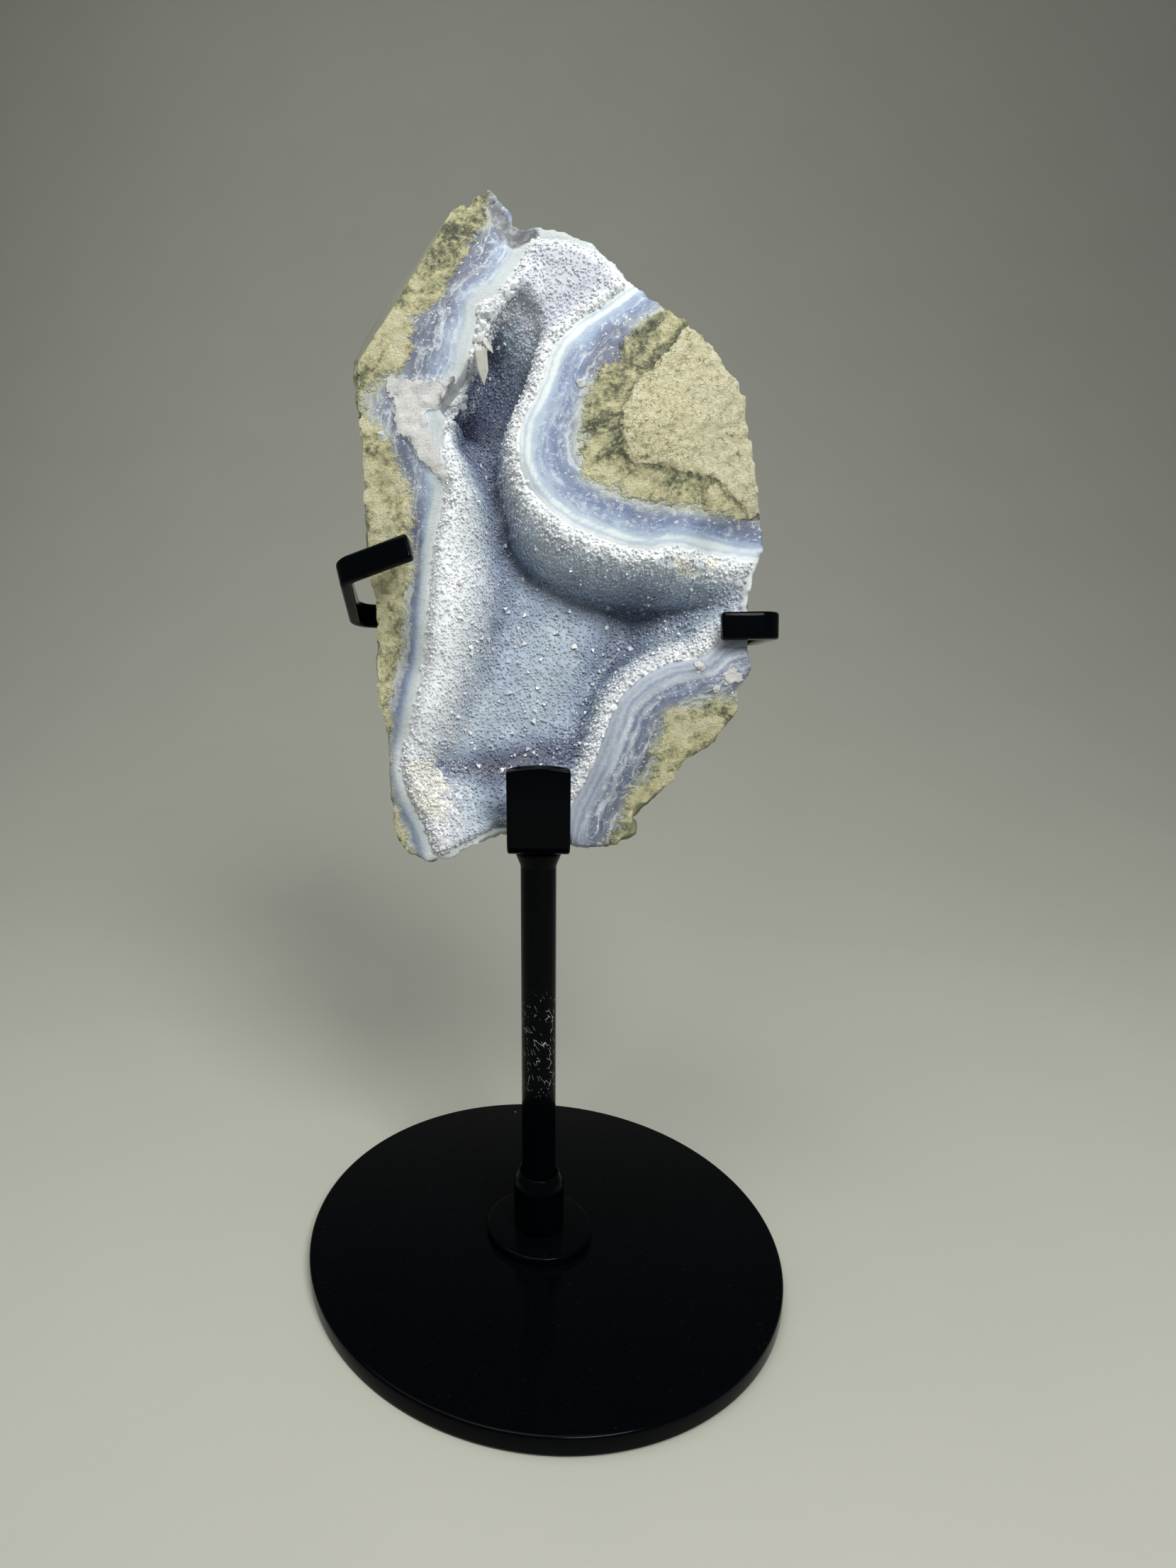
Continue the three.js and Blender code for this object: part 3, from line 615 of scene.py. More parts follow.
def section(width, thickness, edge):
    """A rectangle with rounded edges, as (across, through) places, in the order that faces outwards."""
    w, t = width / 2 - edge, thickness / 2 - edge
    line = []
    for cx, cy, start in ((w, -t, -90), (w, t, 0), (-w, t, 90), (-w, -t, 180)):
        for turn in EDGE_TURNS:
            angle = math.radians(start + turn)
            line.append((cx + edge * math.cos(angle), cy + edge * math.sin(angle)))
        if cy == t and cx == w or cy == -t and cx == -w:
            sign = -1 if cx > 0 else 1
            rows = [w * sign * (2 * c / STRIP_COLUMNS - 1) for c in range(1, STRIP_COLUMNS)]
            line += [(place, line[-1][1]) for place in rows]
    return line


print("a strip's section has", len(section(10, 2, 0.4)), "points")

# %% Strip piece
END_STEPS = 4
STRIP_SHARP = math.radians(50)


def strip_piece(name, corners, width, thickness, edge, crown, material):
    """Sweeps the section along the route. The crown is how much higher the first end is in its middle."""
    stops = route_stops(corners)
    line = section(width, thickness, edge)
    rings = []

    def ring(place, along, across, shrink, offset, raised):
        across = unit(across - (across @ along) * along)
        through = np.cross(along, across)
        found = []
        for a, t in line:
            a *= 1 - 2 * shrink / width
            t *= 1 - 2 * shrink / thickness
            lift = raised * (1 - (2 * a / width) ** 2)
            found.append(place + across * a + through * t + along * (offset + lift))
        rings.append(found)

    for i, (place, across) in enumerate(stops):
        ahead = stops[min(i + 1, len(stops) - 1)][0]
        behind = stops[max(i - 1, 0)][0]
        along = unit(ahead - behind)
        if i == 0:
            for step in range(END_STEPS):
                angle = math.pi / 2 * step / END_STEPS
                ring(place, along, across, edge * (1 - math.sin(angle)), edge * (1 - math.cos(angle)), -crown)
            ring(place, along, across, 0, edge, -crown)
        elif i < len(stops) - 1:
            ring(place, along, across, 0, 0, 0)
        else:
            ring(place, along, across, 0, -edge, 0)
            for step in range(END_STEPS - 1, -1, -1):
                angle = math.pi / 2 * step / END_STEPS
                ring(place, along, across, edge * (1 - math.sin(angle)), -edge * (1 - math.cos(angle)), 0)
    count = len(line)
    points = [p for r in rings for p in r]
    faces = []
    for low in range(len(rings) - 1):
        for s in range(count):
            n = (s + 1) % count
            faces.append((low * count + s, low * count + n, (low + 1) * count + n, (low + 1) * count + s))
    last = (len(rings) - 1) * count
    for start, order in ((0, -1), (last, 1)):
        middle = len(points)
        points.append(np.mean(points[start:start + count], axis=0))
        for s in range(count):
            n = (s + 1) % count
            faces.append((middle, start + s, start + n)[::order])
    piece = show(name, points, faces, material, [name.replace("_piece", "")])
    piece.data.set_sharp_from_angle(angle=STRIP_SHARP)
    return piece


print("each free end is rounded in", END_STEPS, "steps")

# %% Cradle and side band
STRIP_WIDTH = 9.6
STRIP_EDGE = 0.35
PRONG_FACE = -5.8
PRONG_HEIGHT = 11.6
PRONG_LEAN = 1
PRONG_CROWN = 0.6
SPINE_FOOT = 23.6
SPINE_TOP = (30.6, 107.5)
BAND_WIDTH = 4.1
BAND_THICKNESS = 1.9
BAND_EDGE = 0.42

seat_middle = SEAT_TOP - STRIP_THICKNESS / 2
prong_middle = PRONG_FACE + STRIP_THICKNESS / 2
SIDEWAYS = (1, 0, 0)
CRADLE_ROUTE = [
    ((0, prong_middle - PRONG_LEAN, SEAT_TOP + PRONG_HEIGHT), SIDEWAYS, 0),
    ((0, prong_middle, seat_middle), SIDEWAYS, 1.5),
    ((0, SPINE_FOOT, seat_middle), SIDEWAYS, 4),
    ((0, *SPINE_TOP), SIDEWAYS, 0),
]
FINGER_LEFT = (-0.25, 0.38, 0.89)
FINGER_RIGHT = (0.02, 0.25, 0.97)
BAND_LEFT = (-0.05, 0.2, 0.98)
BAND_BACK = (0, 0.24, 0.97)
BAND_ROUTE = [
    ((-19.4, 2.6, 120), FINGER_LEFT, 0),
    ((-30.2, 3.4, 116.6), FINGER_LEFT, 2.2),
    ((-32.6, 24.5, 109), BAND_LEFT, 3),
    ((0, 28.3, 107), BAND_BACK, 12),
    ((36.5, 24.5, 104.3), BAND_BACK, 3),
    ((34.9, 2.8, 106.9), FINGER_RIGHT, 2.2),
    ((27.2, 2.4, 107), FINGER_RIGHT, 0),
]
strip_piece("cradle_strip_piece", CRADLE_ROUTE, STRIP_WIDTH, STRIP_THICKNESS, STRIP_EDGE, PRONG_CROWN,
            strip_paint)
strip_piece("side_band_piece", BAND_ROUTE, BAND_WIDTH, BAND_THICKNESS, BAND_EDGE, 0, strip_paint)

# %% [markdown]
# ## The stone as a field of numbers
# A broken geode has no simple outline to extrude: its rind swells, its face dips into the hollow and the
# hollow runs in under the island. Sculpting by hand could do it, but a field does it in code: a number
# for each place in space, negative inside the stone. The stone is the place where that number is zero.
# The field is made from a few drawn lines and heights in the stone's own frame, X to the right, Y up the
# broken face and Z out of it, in millimetres.

# %% Frame and depths of the stone
STONE_FOOT = np.array([0, -3.4, 75.5])
STONE_LEAN = math.radians(12)
STONE_AXES = np.array([
    [1, 0, 0],
    [0, math.sin(STONE_LEAN), math.cos(STONE_LEAN)],
    [0, -math.cos(STONE_LEAN), math.sin(STONE_LEAN)],
])
SIDE_DEPTH = 8
BACK_DEPTH = 25
BACK_ROUNDING = 30
WINDOW_WALL = 0.8
RIM_REACH = 4
FLOOR_REACH = 3.2
CAVE_BLEND = 1.6


def to_frame(points):
    """From the stone's own frame to the object's, both in millimetres."""
    return STONE_FOOT + points @ STONE_AXES


print("the stone's zero is at", to_frame(np.zeros(3)), "mm, leaning", round(math.degrees(STONE_LEAN)), "degrees")

# %% [markdown]
# ## Lines and heights of the broken face
# The edge of the face, the edge of the hollow and the edge of the window are drawn as lines. Heights are
# known at single places: on the rim, on the floor of the hollow and in the window. An image of heights
# could hold them, but a few dozen places that are blended smoothly are easier to move one by one. WALLS
# gives the width of the slope from rim to floor, and how round its top is. The breaks are the flats where
# the stone was sawn or knocked off, each with its direction and its distance.

# %% Edges of the face, the hollow and the window
FACE_EDGE = [
    (-11, 102.5), (-8.5, 102.5), (-6, 100.5), (-4, 98), (-3.5, 96), (1.5, 95), (8.5, 92.3), (11.5, 89),
    (14.8, 84.6), (21.5, 78.5), (25.8, 74), (28, 70), (30.5, 65.5), (32, 57), (33.5, 48), (33.5, 42.5),
    (32.5, 40), (31.5, 30), (32, 25.5), (30.5, 23.5), (30.5, 19.5), (26, 14.5), (22.5, 12.5), (20.5, 9),
    (18, 6.5), (14, 3.5), (14.5, 1), (12, -1), (7.5, -1.5), (4.5, -1), (0, 0.5), (-6, 1), (-7.5, 0),
    (-11.5, -2), (-14, -3.5), (-17.5, -4), (-20, -2.5), (-22.5, 0), (-23.5, 11), (-25.5, 25), (-26, 33),
    (-27, 47.5), (-27.8, 55), (-28.3, 67), (-29, 70), (-30.6, 77), (-28, 83), (-24.8, 88.8), (-20.3, 93),
    (-16.8, 97.3), (-13.5, 102),
]
HOLLOW_EDGE = [
    (-2, 94), (4.5, 93), (10, 90), (14.5, 83.5), (7, 79.5), (4, 77), (2.5, 74), (0.5, 68), (-1.5, 65),
    (-2.5, 61.5), (-2, 58), (-0.5, 55), (1.5, 52), (5.5, 49), (10, 47), (17.5, 45), (26.5, 43.5),
    (33.5, 42.5), (35, 35.5), (32, 30.5), (27.5, 29), (25.5, 27), (20.5, 26), (16, 24), (13, 21),
    (11.5, 17.5), (9.5, 12), (7.5, 7.5), (5.5, 3.5), (4.5, -2), (-7.5, -1), (-13, -4), (-17, -2.5),
    (-18, 1.5), (-20, 6.5), (-20.5, 11), (-19, 15.5), (-16, 24.5), (-14, 35.5), (-14.5, 41.5), (-15, 45),
    (-13.5, 49.5), (-13, 53.5), (-13.5, 58), (-15.5, 61), (-15, 64.5), (-13, 67), (-12, 70.5), (-11, 75.5),
    (-10, 82.5), (-6.5, 84.5), (-4, 87), (-3, 91),
]
WINDOW_EDGE = [
    (-3.4, 87.2), (-6, 84.4), (-8.5, 81.2), (-9.4, 77.8), (-10.4, 75), (-12, 71.8), (-14, 69.6),
    (-15.4, 67.2), (-14, 64.8), (-10.5, 63.6), (-7, 62.4), (-5, 60), (-4, 62), (-2.4, 65.6), (-0.4, 70.2),
    (0.8, 74), (2, 78), (0.8, 83.3), (-1, 86),
]
print("corners of face, hollow and window:", len(FACE_EDGE), len(HOLLOW_EDGE), len(WINDOW_EDGE))

# %% Heights, walls, caves and breaks
RIM_HEIGHTS = [
    (-9, 99.5, -3), (-17.5, 89, -1), (-25.5, 78.5, -1), (-28.5, 70, -1.5), (-6.5, 94.5, -2.5),
    (-12, 86.5, -0.5), (-17.5, 78.5, 0), (-22, 63, -1), (-17.5, 60, 0.5), (-26.5, 57, -3),
    (-25.5, 43.5, -3.5), (-24.5, 28.5, -3.5), (-23, 13.5, -3), (-21.5, 1, -2.5), (-17.5, 47, 0),
    (-17.5, 33.5, 0.5), (-20, 20.5, 0), (-22, 9, -0.5), (-18, -2, -1.5), (15, 81, -0.5), (4.5, 67.5, 0),
    (2.5, 58, 0), (13, 49, 0.5), (21, 61.5, 2.5), (25.5, 66, 1), (29.5, 57, -0.5), (21, 51.5, 1.5),
    (32, 44.5, -2), (20, 73, 0.5), (21.5, 24, 0), (15, 17.5, 0), (29, 27.5, -1), (10, 91, -2.1),
    (5, 94, -2.4), (13, 86.5, -1.8), (29, 19, -2), (22, 13.5, -2.5), (15.5, 5.5, -3), (10, 1.5, -2),
    (7.5, 4.5, -1), (11, 11.5, 0),
]
FLOOR_HEIGHTS = [
    (-12, 55, -3), (-13.5, 35, -3), (-14.5, 25, -3.5), (-17.5, 16, -3), (-9.5, 51, -6.3), (-10, 40.5, -5),
    (-11.5, 32.5, -5.5), (-6, 61, -11), (-10, 62, -10.8), (-12.4, 62, -9.5), (-11, 65.5, -11),
    (-8, 64, -11), (-13, 64.5, -10), (-14.2, 61.5, -2.6), (-10, 58.4, -10.3), (-12.2, 57.5, -7.5),
    (-14, 57.5, -2.6), (-11.6, 54, -4.4), (-9, 54.6, -9), (-6.5, 53, -11), (-5, 56, -11), (-3, 52.5, -11.5),
    (-4.5, 44, -10.5), (-7.5, 34, -9), (-12, 22.5, -6), (-15, 15.5, -6), (1.5, 28, -8), (-3, 34, -9),
    (5, 31.5, -8.5), (-2, 20.5, -8), (4.5, 20.5, -9), (-7.5, 26, -8), (6, 40.5, -8.5), (15.5, 39.5, -11.4),
    (22.5, 38.5, -8.8), (29, 38.5, -5.8), (8, 35, -9.5), (15.5, 34, -11.6), (22, 34.5, -8.8), (29, 35, -6),
    (32.5, 36.5, -5.5), (13, 26.5, -10.5), (19.5, 30.5, -8), (25.5, 31.5, -5), (10.5, 19.5, -8),
    (6, 10, -5), (-7, 12, -7), (2, 13.5, -8), (-13.5, 11, -5), (-12.5, 4.5, -3), (-6.5, 3.5, -3.5),
    (-15.5, 0, -2), (-18, 9, -2), (1, 5.5, -4), (-2.5, 68, -7), (-12, 71, 0.1), (-10.5, 76, 0.2),
    (-9, 81.5, 0), (-5.5, 86, -0.9), (0, 76, -4.5), (1.5, 80, -4.5), (3.5, 90, -2.2), (10, 87, -1.9),
    (1, 86.5, -3.2), (-1.5, 92.5, -2.5), (4.5, 84.5, -3), (-1.5, 88, -3.4),
]
WALLS = [
    (4, 48, 8, 1), (11, 44, 8.5, 1), (19, 41, 8, 1), (28, 40, 7.5, 0.6), (1, 56, 4.5, 0.8), (2, 66, 4, 0.5),
    (-10, 40, 8, 0), (-12, 22, 7, 0), (15, 22, 5, 0), (8, 12, 4, 0), (27, 30, 5, 0), (-10, 54, 6, 0),
    (-12, 59, 3, 0), (-14, 64, 2.2, 0), (6, 86, 5, 0), (-6, 84, 5, 0), (-14, 4, 4, 0),
]
WINDOW_FLOOR = [
    (-2.5, 86, -3.8), (-0.5, 82, -4.4), (0.8, 78, -5.2), (-3, 79, -7.8), (-6.5, 79, -11), (-8, 76, -13),
    (-9.5, 73, -15), (-5, 72, -12.5), (-2, 72, -9), (-13, 69, -14), (-9, 69, -14.5), (-13.5, 66.5, -9),
    (-9.5, 65.5, -11.3), (-5.5, 67.5, -12.5), (-6, 63.5, -11.5), (-8, 63, -10.8), (-3.5, 65, -11),
]
CAVES = [
    ((-1, 52, -12), (0.5, 68, -12), 4), ((-14, 68.6, -8.8), (-9.8, 77.5, -8.8), 4.6),
]
SAWN_OUT = (-0.72, 0.485, 0.5)
SAWN_REACH = 56.3
BREAKS = [
    (SAWN_OUT, SAWN_REACH),
    ((-0.93, 0.05, 0.36), 29.6),
    ((0.55, 0.6, -0.58), 66),
    ((0.8, -0.1, -0.6), 33),
    ((-0.75, -0.15, -0.64), 25.5),
    ((-0.35, 0.7, -0.62), 76),
    ((0.15, -0.57, -0.81), 12),
]
SWELLS = [
    (0.8, (0.21, 0.13, 0.3), (-0.12, 0.23, 0.17)),
    (0.45, (0.52, -0.2, 0.4), (0.16, 0.55, -0.5)),
]
print("heights of rim, floor and window:", len(RIM_HEIGHTS), len(FLOOR_HEIGHTS), len(WINDOW_FLOOR))

# %% [markdown]
# ## The zones of the broken face
# From the hollow outwards the stone shows, in this order, a bright white line, blue bands, a skin of
# olive crystals and, on the island, a cream core. Each border is a drawn line. The distance to such a
# line is stored at every point of the mesh, and the material turns distances into bands, so that the
# bands stay parallel to their line as they do in real agate. A painted image would fix its own sharpness,
# and it would have to be redone whenever the shape changes.

# %% Lines of the zones
WHITE_EDGE = [
    (-4.5, 88), (-2.5, 91.5), (-2, 94), (4.5, 93), (10, 90.5), (14.8, 84.5), (10.5, 81.5), (7, 79.5),
    (4, 76.5), (2.5, 74), (1.5, 70.5), (0.5, 68), (-1.5, 64.5), (-2, 61.5), (-2, 58), (-0.5, 54.5),
    (1.5, 52), (5.5, 48.5), (10, 46.5), (14, 45), (17, 44.5), (19.5, 45), (33, 43), (45, 43), (45, 30),
    (30, 30), (27.5, 29), (25.5, 27), (20, 26), (16, 24), (13, 21), (11.5, 17.5), (9.5, 12), (7.5, 7.5),
    (6, 5), (4.5, -2), (4.5, -14), (-17, -14), (-17.5, -2), (-18.5, 1.5), (-21.2, 6.5), (-22.6, 11),
    (-22.4, 13.5), (-21, 17.5), (-19.8, 22), (-18.6, 27.5), (-17.8, 34.5), (-17.4, 41), (-17.2, 44.5),
    (-16.2, 49), (-15, 54), (-15.2, 58), (-15.6, 62), (-15, 66), (-13, 70.5), (-11.8, 73), (-10, 80),
    (-10, 83), (-6.5, 85),
]
MATRIX_LEFT = [
    (-8, 120), (-8, 100.5), (-7.5, 97.5), (-9, 95.5), (-10.5, 93.5), (-11, 91), (-13, 88), (-14.5, 86),
    (-14.5, 84.5), (-17, 83), (-19.5, 82.5), (-19.5, 80.5), (-19.5, 77), (-21, 74.5), (-23, 73.5),
    (-25.5, 71.5), (-27.5, 70), (-27.5, 67), (-26, 65.5), (-24, 63.5), (-22.5, 60.5), (-21.5, 57),
    (-20, 53.5), (-20, 49.5), (-19.5, 44), (-20.5, 40), (-21.5, 36), (-21, 34.5), (-21.5, 31),
    (-22.5, 26.5), (-23.5, 22), (-24, 17.5), (-24, 13), (-23.5, 6), (-23, 4), (-21.5, 0), (-20, -3),
    (-20, -20), (-60, -20), (-60, 120),
]
MATRIX_ISLAND = [
    (24, 86), (18, 79), (15, 77.5), (12.5, 74), (10, 71.5), (7.5, 67.5), (7, 63.5), (7, 59), (7.5, 56),
    (12.5, 53), (16.5, 51.5), (21, 50.5), (26, 49.5), (30.5, 49), (33, 48.5), (60, 48), (60, 86),
]
MATRIX_LOBE = [
    (60, 22.5), (31, 22.5), (30.5, 21), (25.5, 20.5), (20, 19), (18.5, 13.5), (18, 11), (14.5, 6.5),
    (10.5, -0.5), (10.5, -20), (60, -20),
]
CORE_EDGE = [
    (24, 80), (20, 74), (17, 71), (14.5, 68.5), (12.5, 64), (12.5, 60.5), (13.5, 57), (19, 56), (21, 55),
    (26, 54.5), (28, 52.5), (32, 49), (60, 49), (60, 80),
]
FRESH_PATCH = [
    (-23.5, 73), (-18, 71.5), (-12, 71), (-14, 68), (-17.5, 66.5), (-16, 61), (-14, 58), (-14, 54), (-16, 57),
    (-18.5, 59), (-19.5, 62), (-22, 63.5), (-22.5, 67.5), (-24, 71.5),
]
DARK_TIP = [
    (-8, 101), (-6.5, 100.5), (-5, 98), (-3.5, 96), (0, 95), (0.5, 93.5), (-2.5, 92.5), (-4, 92),
    (-6.5, 94.5), (-7.5, 98),
]
CREAM_PATCH = [
    (-20.5, 12), (-17, 12.5), (-14.8, 11), (-14.2, 8.5), (-15.2, 6.5), (-13.6, 5.5), (-15.5, 3.4), (-19, 4),
]
print("zones:", len(WHITE_EDGE), "corners along the white line,", len(CORE_EDGE), "round the core")

# %% [markdown]
# ## Spots of the zones
# Some things are not lines but places: where the bands turn slate, where the skin is golden, where the
# druzy floor gets painted shade (in its valleys, its bottom crease, under the island and in the prong's
# shadow) and painted light (on its bulges and the top plane), how far white frost reaches into the hollow,
# how much the crystals sparkle and where the white line shows. Each place has its x and y. A spot adds a
# radius, and its strength where that is not 1. The reach of the frost, the sparkle and the line are blended
# between their places instead.

# %% Spots of the zones
ISLAND_HEART = (26, 64)
SLATE_PLACES = [
    (16, 50.3, 3, 0.2), (31, 47, 3.2), (11.5, 75.5, 2.2), (9.6, 71.5, 1.5), (-10.5, 91, 2.4),
    (-9.5, 93, 1.6), (-18, 76, 3), (-15, 90, 2.5), (-20, 62, 3), (-18, 50, 2), (-14.5, 80, 3.4, 1),
    (-12.8, 86, 2.4, 0.7), (11.4, 75.4, 2, 1), (-19.6, 47, 1.8), (9, 2, 2.6), (12, 8, 2, 0.6),
]
GOLD_PLACES = [
    (-12, 95, 6, -0.5), (-20, 87, 5, -0.3), (-22, 80, 3, 1), (-24, 55, 4, 0.9), (-24, 42, 4, 0.3),
    (-24, 20, 6, -0.2), (8, 62, 3, -0.5), (14, 75, 4, -0.5), (20, 52, 6, -0.1), (12, 55, 3, 0.7),
    (28, 51, 3, 0.6), (28, 18, 4, -0.1),
]
CREAM_SPOTS = [(21.5, 41.2, 1.1), (26.3, 42, 0.9), (23.4, 40.2, 0.6)]
FRESH_SPOTS = [(24.3, 26.3, 0.75), (29.2, 24.8, 1.3), (26.8, 22.9, 0.5), (-24.6, 63.4, 0.8), (6.5, 69.6, 0.7)]
# Spots of painted shade (positive strength) and painted light (negative strength) on the druzy floor: shade in
# the valleys, the bottom crease, under the island's belly and where the prong casts its shadow; light on the
# bulges and the top plane.
SHADE_AND_LIGHT_SPOTS = [
    (15.5, 36.5, 3.5, 2.4), (22, 35, 4, 1.2), (12.5, 27, 3, 4), (10, 20, 3, 4), (-18, 11, 2, 4),
    (-9, 27, 2, 3), (-7.5, 34, 2, 3.5), (-6, 40, 2.6, 3.4), (-5.5, 50, 2.6, 3.2), (-15, 11, 1.8, 7),
    (-11.5, 11.3, 2, 9), (-7, 11.5, 2, 10), (-2.5, 12, 2, 10), (2, 13, 2, 9), (6, 14, 2, 8), (-4, 47, 3, 3),
    (-3.5, 54, 4, 1), (-11, 67, 3.2, 10), (-10, 60, 2.4, 4), (-8, 55.5, 2, 3), (-1, 58, 3, 1),
    (8, 42, 4, 4), (0, 22, 3.5, -3), (2, 33, 3.5, -2), (-6.5, 3.5, 3, 5), (-7.5, 7.5, 2.6, 6),
    (0, 6.5, 3, 4), (0, 16, 5, 1.5), (-0.5, 82, 3.2, -3), (5, 87, 6, -3.6), (18, 41, 4, 4), (27, 39, 4, 4),
]
FROST_REACH = [
    (-14, 20, 9), (-14, 33, 13), (-13, 45, 14), (-11, 51, 10), (-12, 56, 3.6), (-13.5, 61, 1.8),
    (-15, 66, 1.5), (-17, 4, 6), (0, 66, 4), (-1, 55, 4), (5, 47, 4.5), (14, 43, 4.5), (25, 41, 4.8),
    (11, 19, 3.5), (18, 24, 3.5), (25, 29, 5), (5, 5, 3), (-9, 78, 4), (4, 78, 3.5), (12, 86, 1.3),
    (0, 90, 1.6), (7, 88, 1.3),
]
SPARKLE_PLACES = [
    (-15, 45, 0.05), (-10, 45, 0.4), (-15, 33, 0.05), (-10, 33, 0.4), (-17, 22, 0.05), (-12, 22, 0.4),
    (-17, 8, 0.8), (-12, 56, 0.4), (0, 66, 0.9), (-2, 58, 0.9), (3, 50, 0.6), (20, 42, 0.6), (12, 43, 0.6),
    (0, 25, 0.2), (6, 32, 0.2), (14, 22, 0.8), (24, 28, 0.8), (8, 10, 0.7), (5, 87, 0.15), (-2, 92, 0.3),
    (12, 86, 0.25), (8, 85, 0.15), (2, 84, 0.1), (0, 88, 0.15), (9, 80, 0.7), (2, 76, 0.8), (-8.5, 79, 1),
    (-5, 84, 1), (-4, 76, 0.15), (-7, 71, 0.15), (-8, 60, 0.2), (-5, 5, 0.2), (-5, 12, 0.2), (-5, 45, 0.2),
]
LINE_PLACES = [
    (4, 50, 1), (20, 44, 1), (30, 43, 0.7), (-2, 60, 1), (4, 76, 1), (12, 83, 1), (-12, 80, 0.6),
    (-14, 66, 0.5), (-16, 50, 0.5), (-16, 36, 0.15), (-18, 20, 0.15), (-20, 6, 0.2), (20, 24, 0.4),
    (12, 14, 0.35), (7, 3, 0.2),
]
print("places:", len(SHADE_AND_LIGHT_SPOTS), "for the depth of colour,", len(SPARKLE_PLACES), "for the sparkle")

# %% [markdown]
# ## Measuring lines, heights and noise
# Blender can measure the distance to a mesh, but here it is wanted at two million places of a grid and only
# across the face. So numpy works it out for all places at once. The noise is written out here as well,
# because it has to move the surface itself and not only its colour.

# %% Distances and heights


def smooth(value):
    value = np.clip(value, 0, 1)
    return value * value * (3 - 2 * value)


def smooth_max(a, b, blend):
    part = np.clip(0.5 + (a - b) / (2 * blend), 0, 1)
    return b + (a - b) * part + blend * part * (1 - part)


def inside_distance(line, x, y):
    """Distance to a closed line, positive inside it."""
    nearest = np.full(np.shape(x), np.inf)
    inside = np.zeros(np.shape(x), bool)
    for (ax, ay), (bx, by) in zip(line[-1:] + line[:-1], line):
        along = ((x - ax) * (bx - ax) + (y - ay) * (by - ay)) / ((bx - ax) ** 2 + (by - ay) ** 2)
        part = np.clip(along, 0, 1)
        nearest = np.minimum(nearest, np.hypot(x - ax - part * (bx - ax), y - ay - part * (by - ay)))
        if ay != by:
            inside ^= ((ay > y) != (by > y)) & (x < (bx - ax) * (y - ay) / (by - ay) + ax)
    return np.where(inside, nearest, -nearest)


def blended_height(places, reach, x, y):
    """Heights known at a few places, blended smoothly between them."""
    total = np.zeros(np.shape(x))
    weights = np.zeros(np.shape(x))
    for px, py, height in places:
        square = (x - px) ** 2 + (y - py) ** 2
        weight = np.exp(-square / (2 * reach * reach)) + 1e-5 / (1 + square)
        total += weight * height
        weights += weight
    return total / weights


def spots(places, points):
    """Soft round spots, each with a place, a radius and a strength."""
    total = np.zeros(len(points))
    for x, y, radius, *strength in places:
        square = (points[:, 0] - x) ** 2 + (points[:, 1] - y) ** 2
        total += (strength[0] if strength else 1) * np.exp(-square / (2 * radius * radius))
    return total


SQUARE = [(0, 0), (2, 0), (2, 2), (0, 2)]
print("the middle of a square of 2 mm is", inside_distance(SQUARE, 1, 1), "mm from its line")

# %% Noise in space
LATTICE_SIZE = 4096
LATTICE_SHIFT = 512
LATTICE_PRIMES = (73856093, 19349663, 83492791)


def lattice_key(x, y, z):
    """A place in a random table for each corner of the lattice, always the same for the same corner."""
    first, second, third = LATTICE_PRIMES
    return (x * first ^ y * second ^ z * third) & (LATTICE_SIZE - 1)


def cell_weights(part):
    """The eight corners of a cell, each with its share at the places within the cell."""
    for step in itertools.product((0, 1), repeat=3):
        away = np.abs(1 - np.array(step) - part)
        yield step, away[:, 0] * away[:, 1] * away[:, 2]


def lattice_noise(points, cell, seed):
    """Smooth noise from -1 to 1: one random number at each corner of a lattice."""
    table = np.random.default_rng(seed).uniform(-1, 1, LATTICE_SIZE)
    place = points / cell + LATTICE_SHIFT
    corner = np.floor(place).astype(np.int64)
    total = np.zeros(len(points))
    for step, weight in cell_weights(smooth(place - corner)):
        total += weight * table[lattice_key(*(corner + step).T)]
    return total


def grain_relief(points, cell, seed):
    """Packed faceted grains: how far a place is from the nearest grain's middle, from 0 to about 1."""
    tables = np.random.default_rng(seed).uniform(0, 1, (3, LATTICE_SIZE))
    place = points / cell + LATTICE_SHIFT
    corner = np.floor(place).astype(np.int64)
    nearest = np.full(len(points), np.inf)
    for step in itertools.product((-1, 0, 1), repeat=3):
        x, y, z = (corner + step).T
        key = lattice_key(x, y, z)
        square = (x + tables[0][key] - place[:, 0]) ** 2 + (y + tables[1][key] - place[:, 1]) ** 2
        square += (z + tables[2][key] - place[:, 2]) ** 2
        nearest = np.minimum(nearest, square)
    return np.sqrt(nearest)


print("noise at zero:", lattice_noise(np.zeros((1, 3)), 1.0, 1).round(2))

# %% [markdown]
# ## The field of the whole stone
# The field is filled on a grid of half-millimetre cells, about two million numbers, which numpy does in a
# second or two. A voxel remesh in Blender would take a mesh to start from, and there is none. The front is
# a map of heights over the face, made from the rim, the floor, the walls and the window. The rind closes
# it at the back, the caves are cut in under the rim, and a soft maximum joins them without a hard edge.

# %% Maps of the face
CELL = 0.52
GRID_LOW = np.array([-36.0, -10.0, -29.0])
GRID_HIGH = np.array([38.0, 107.0, 6.0])

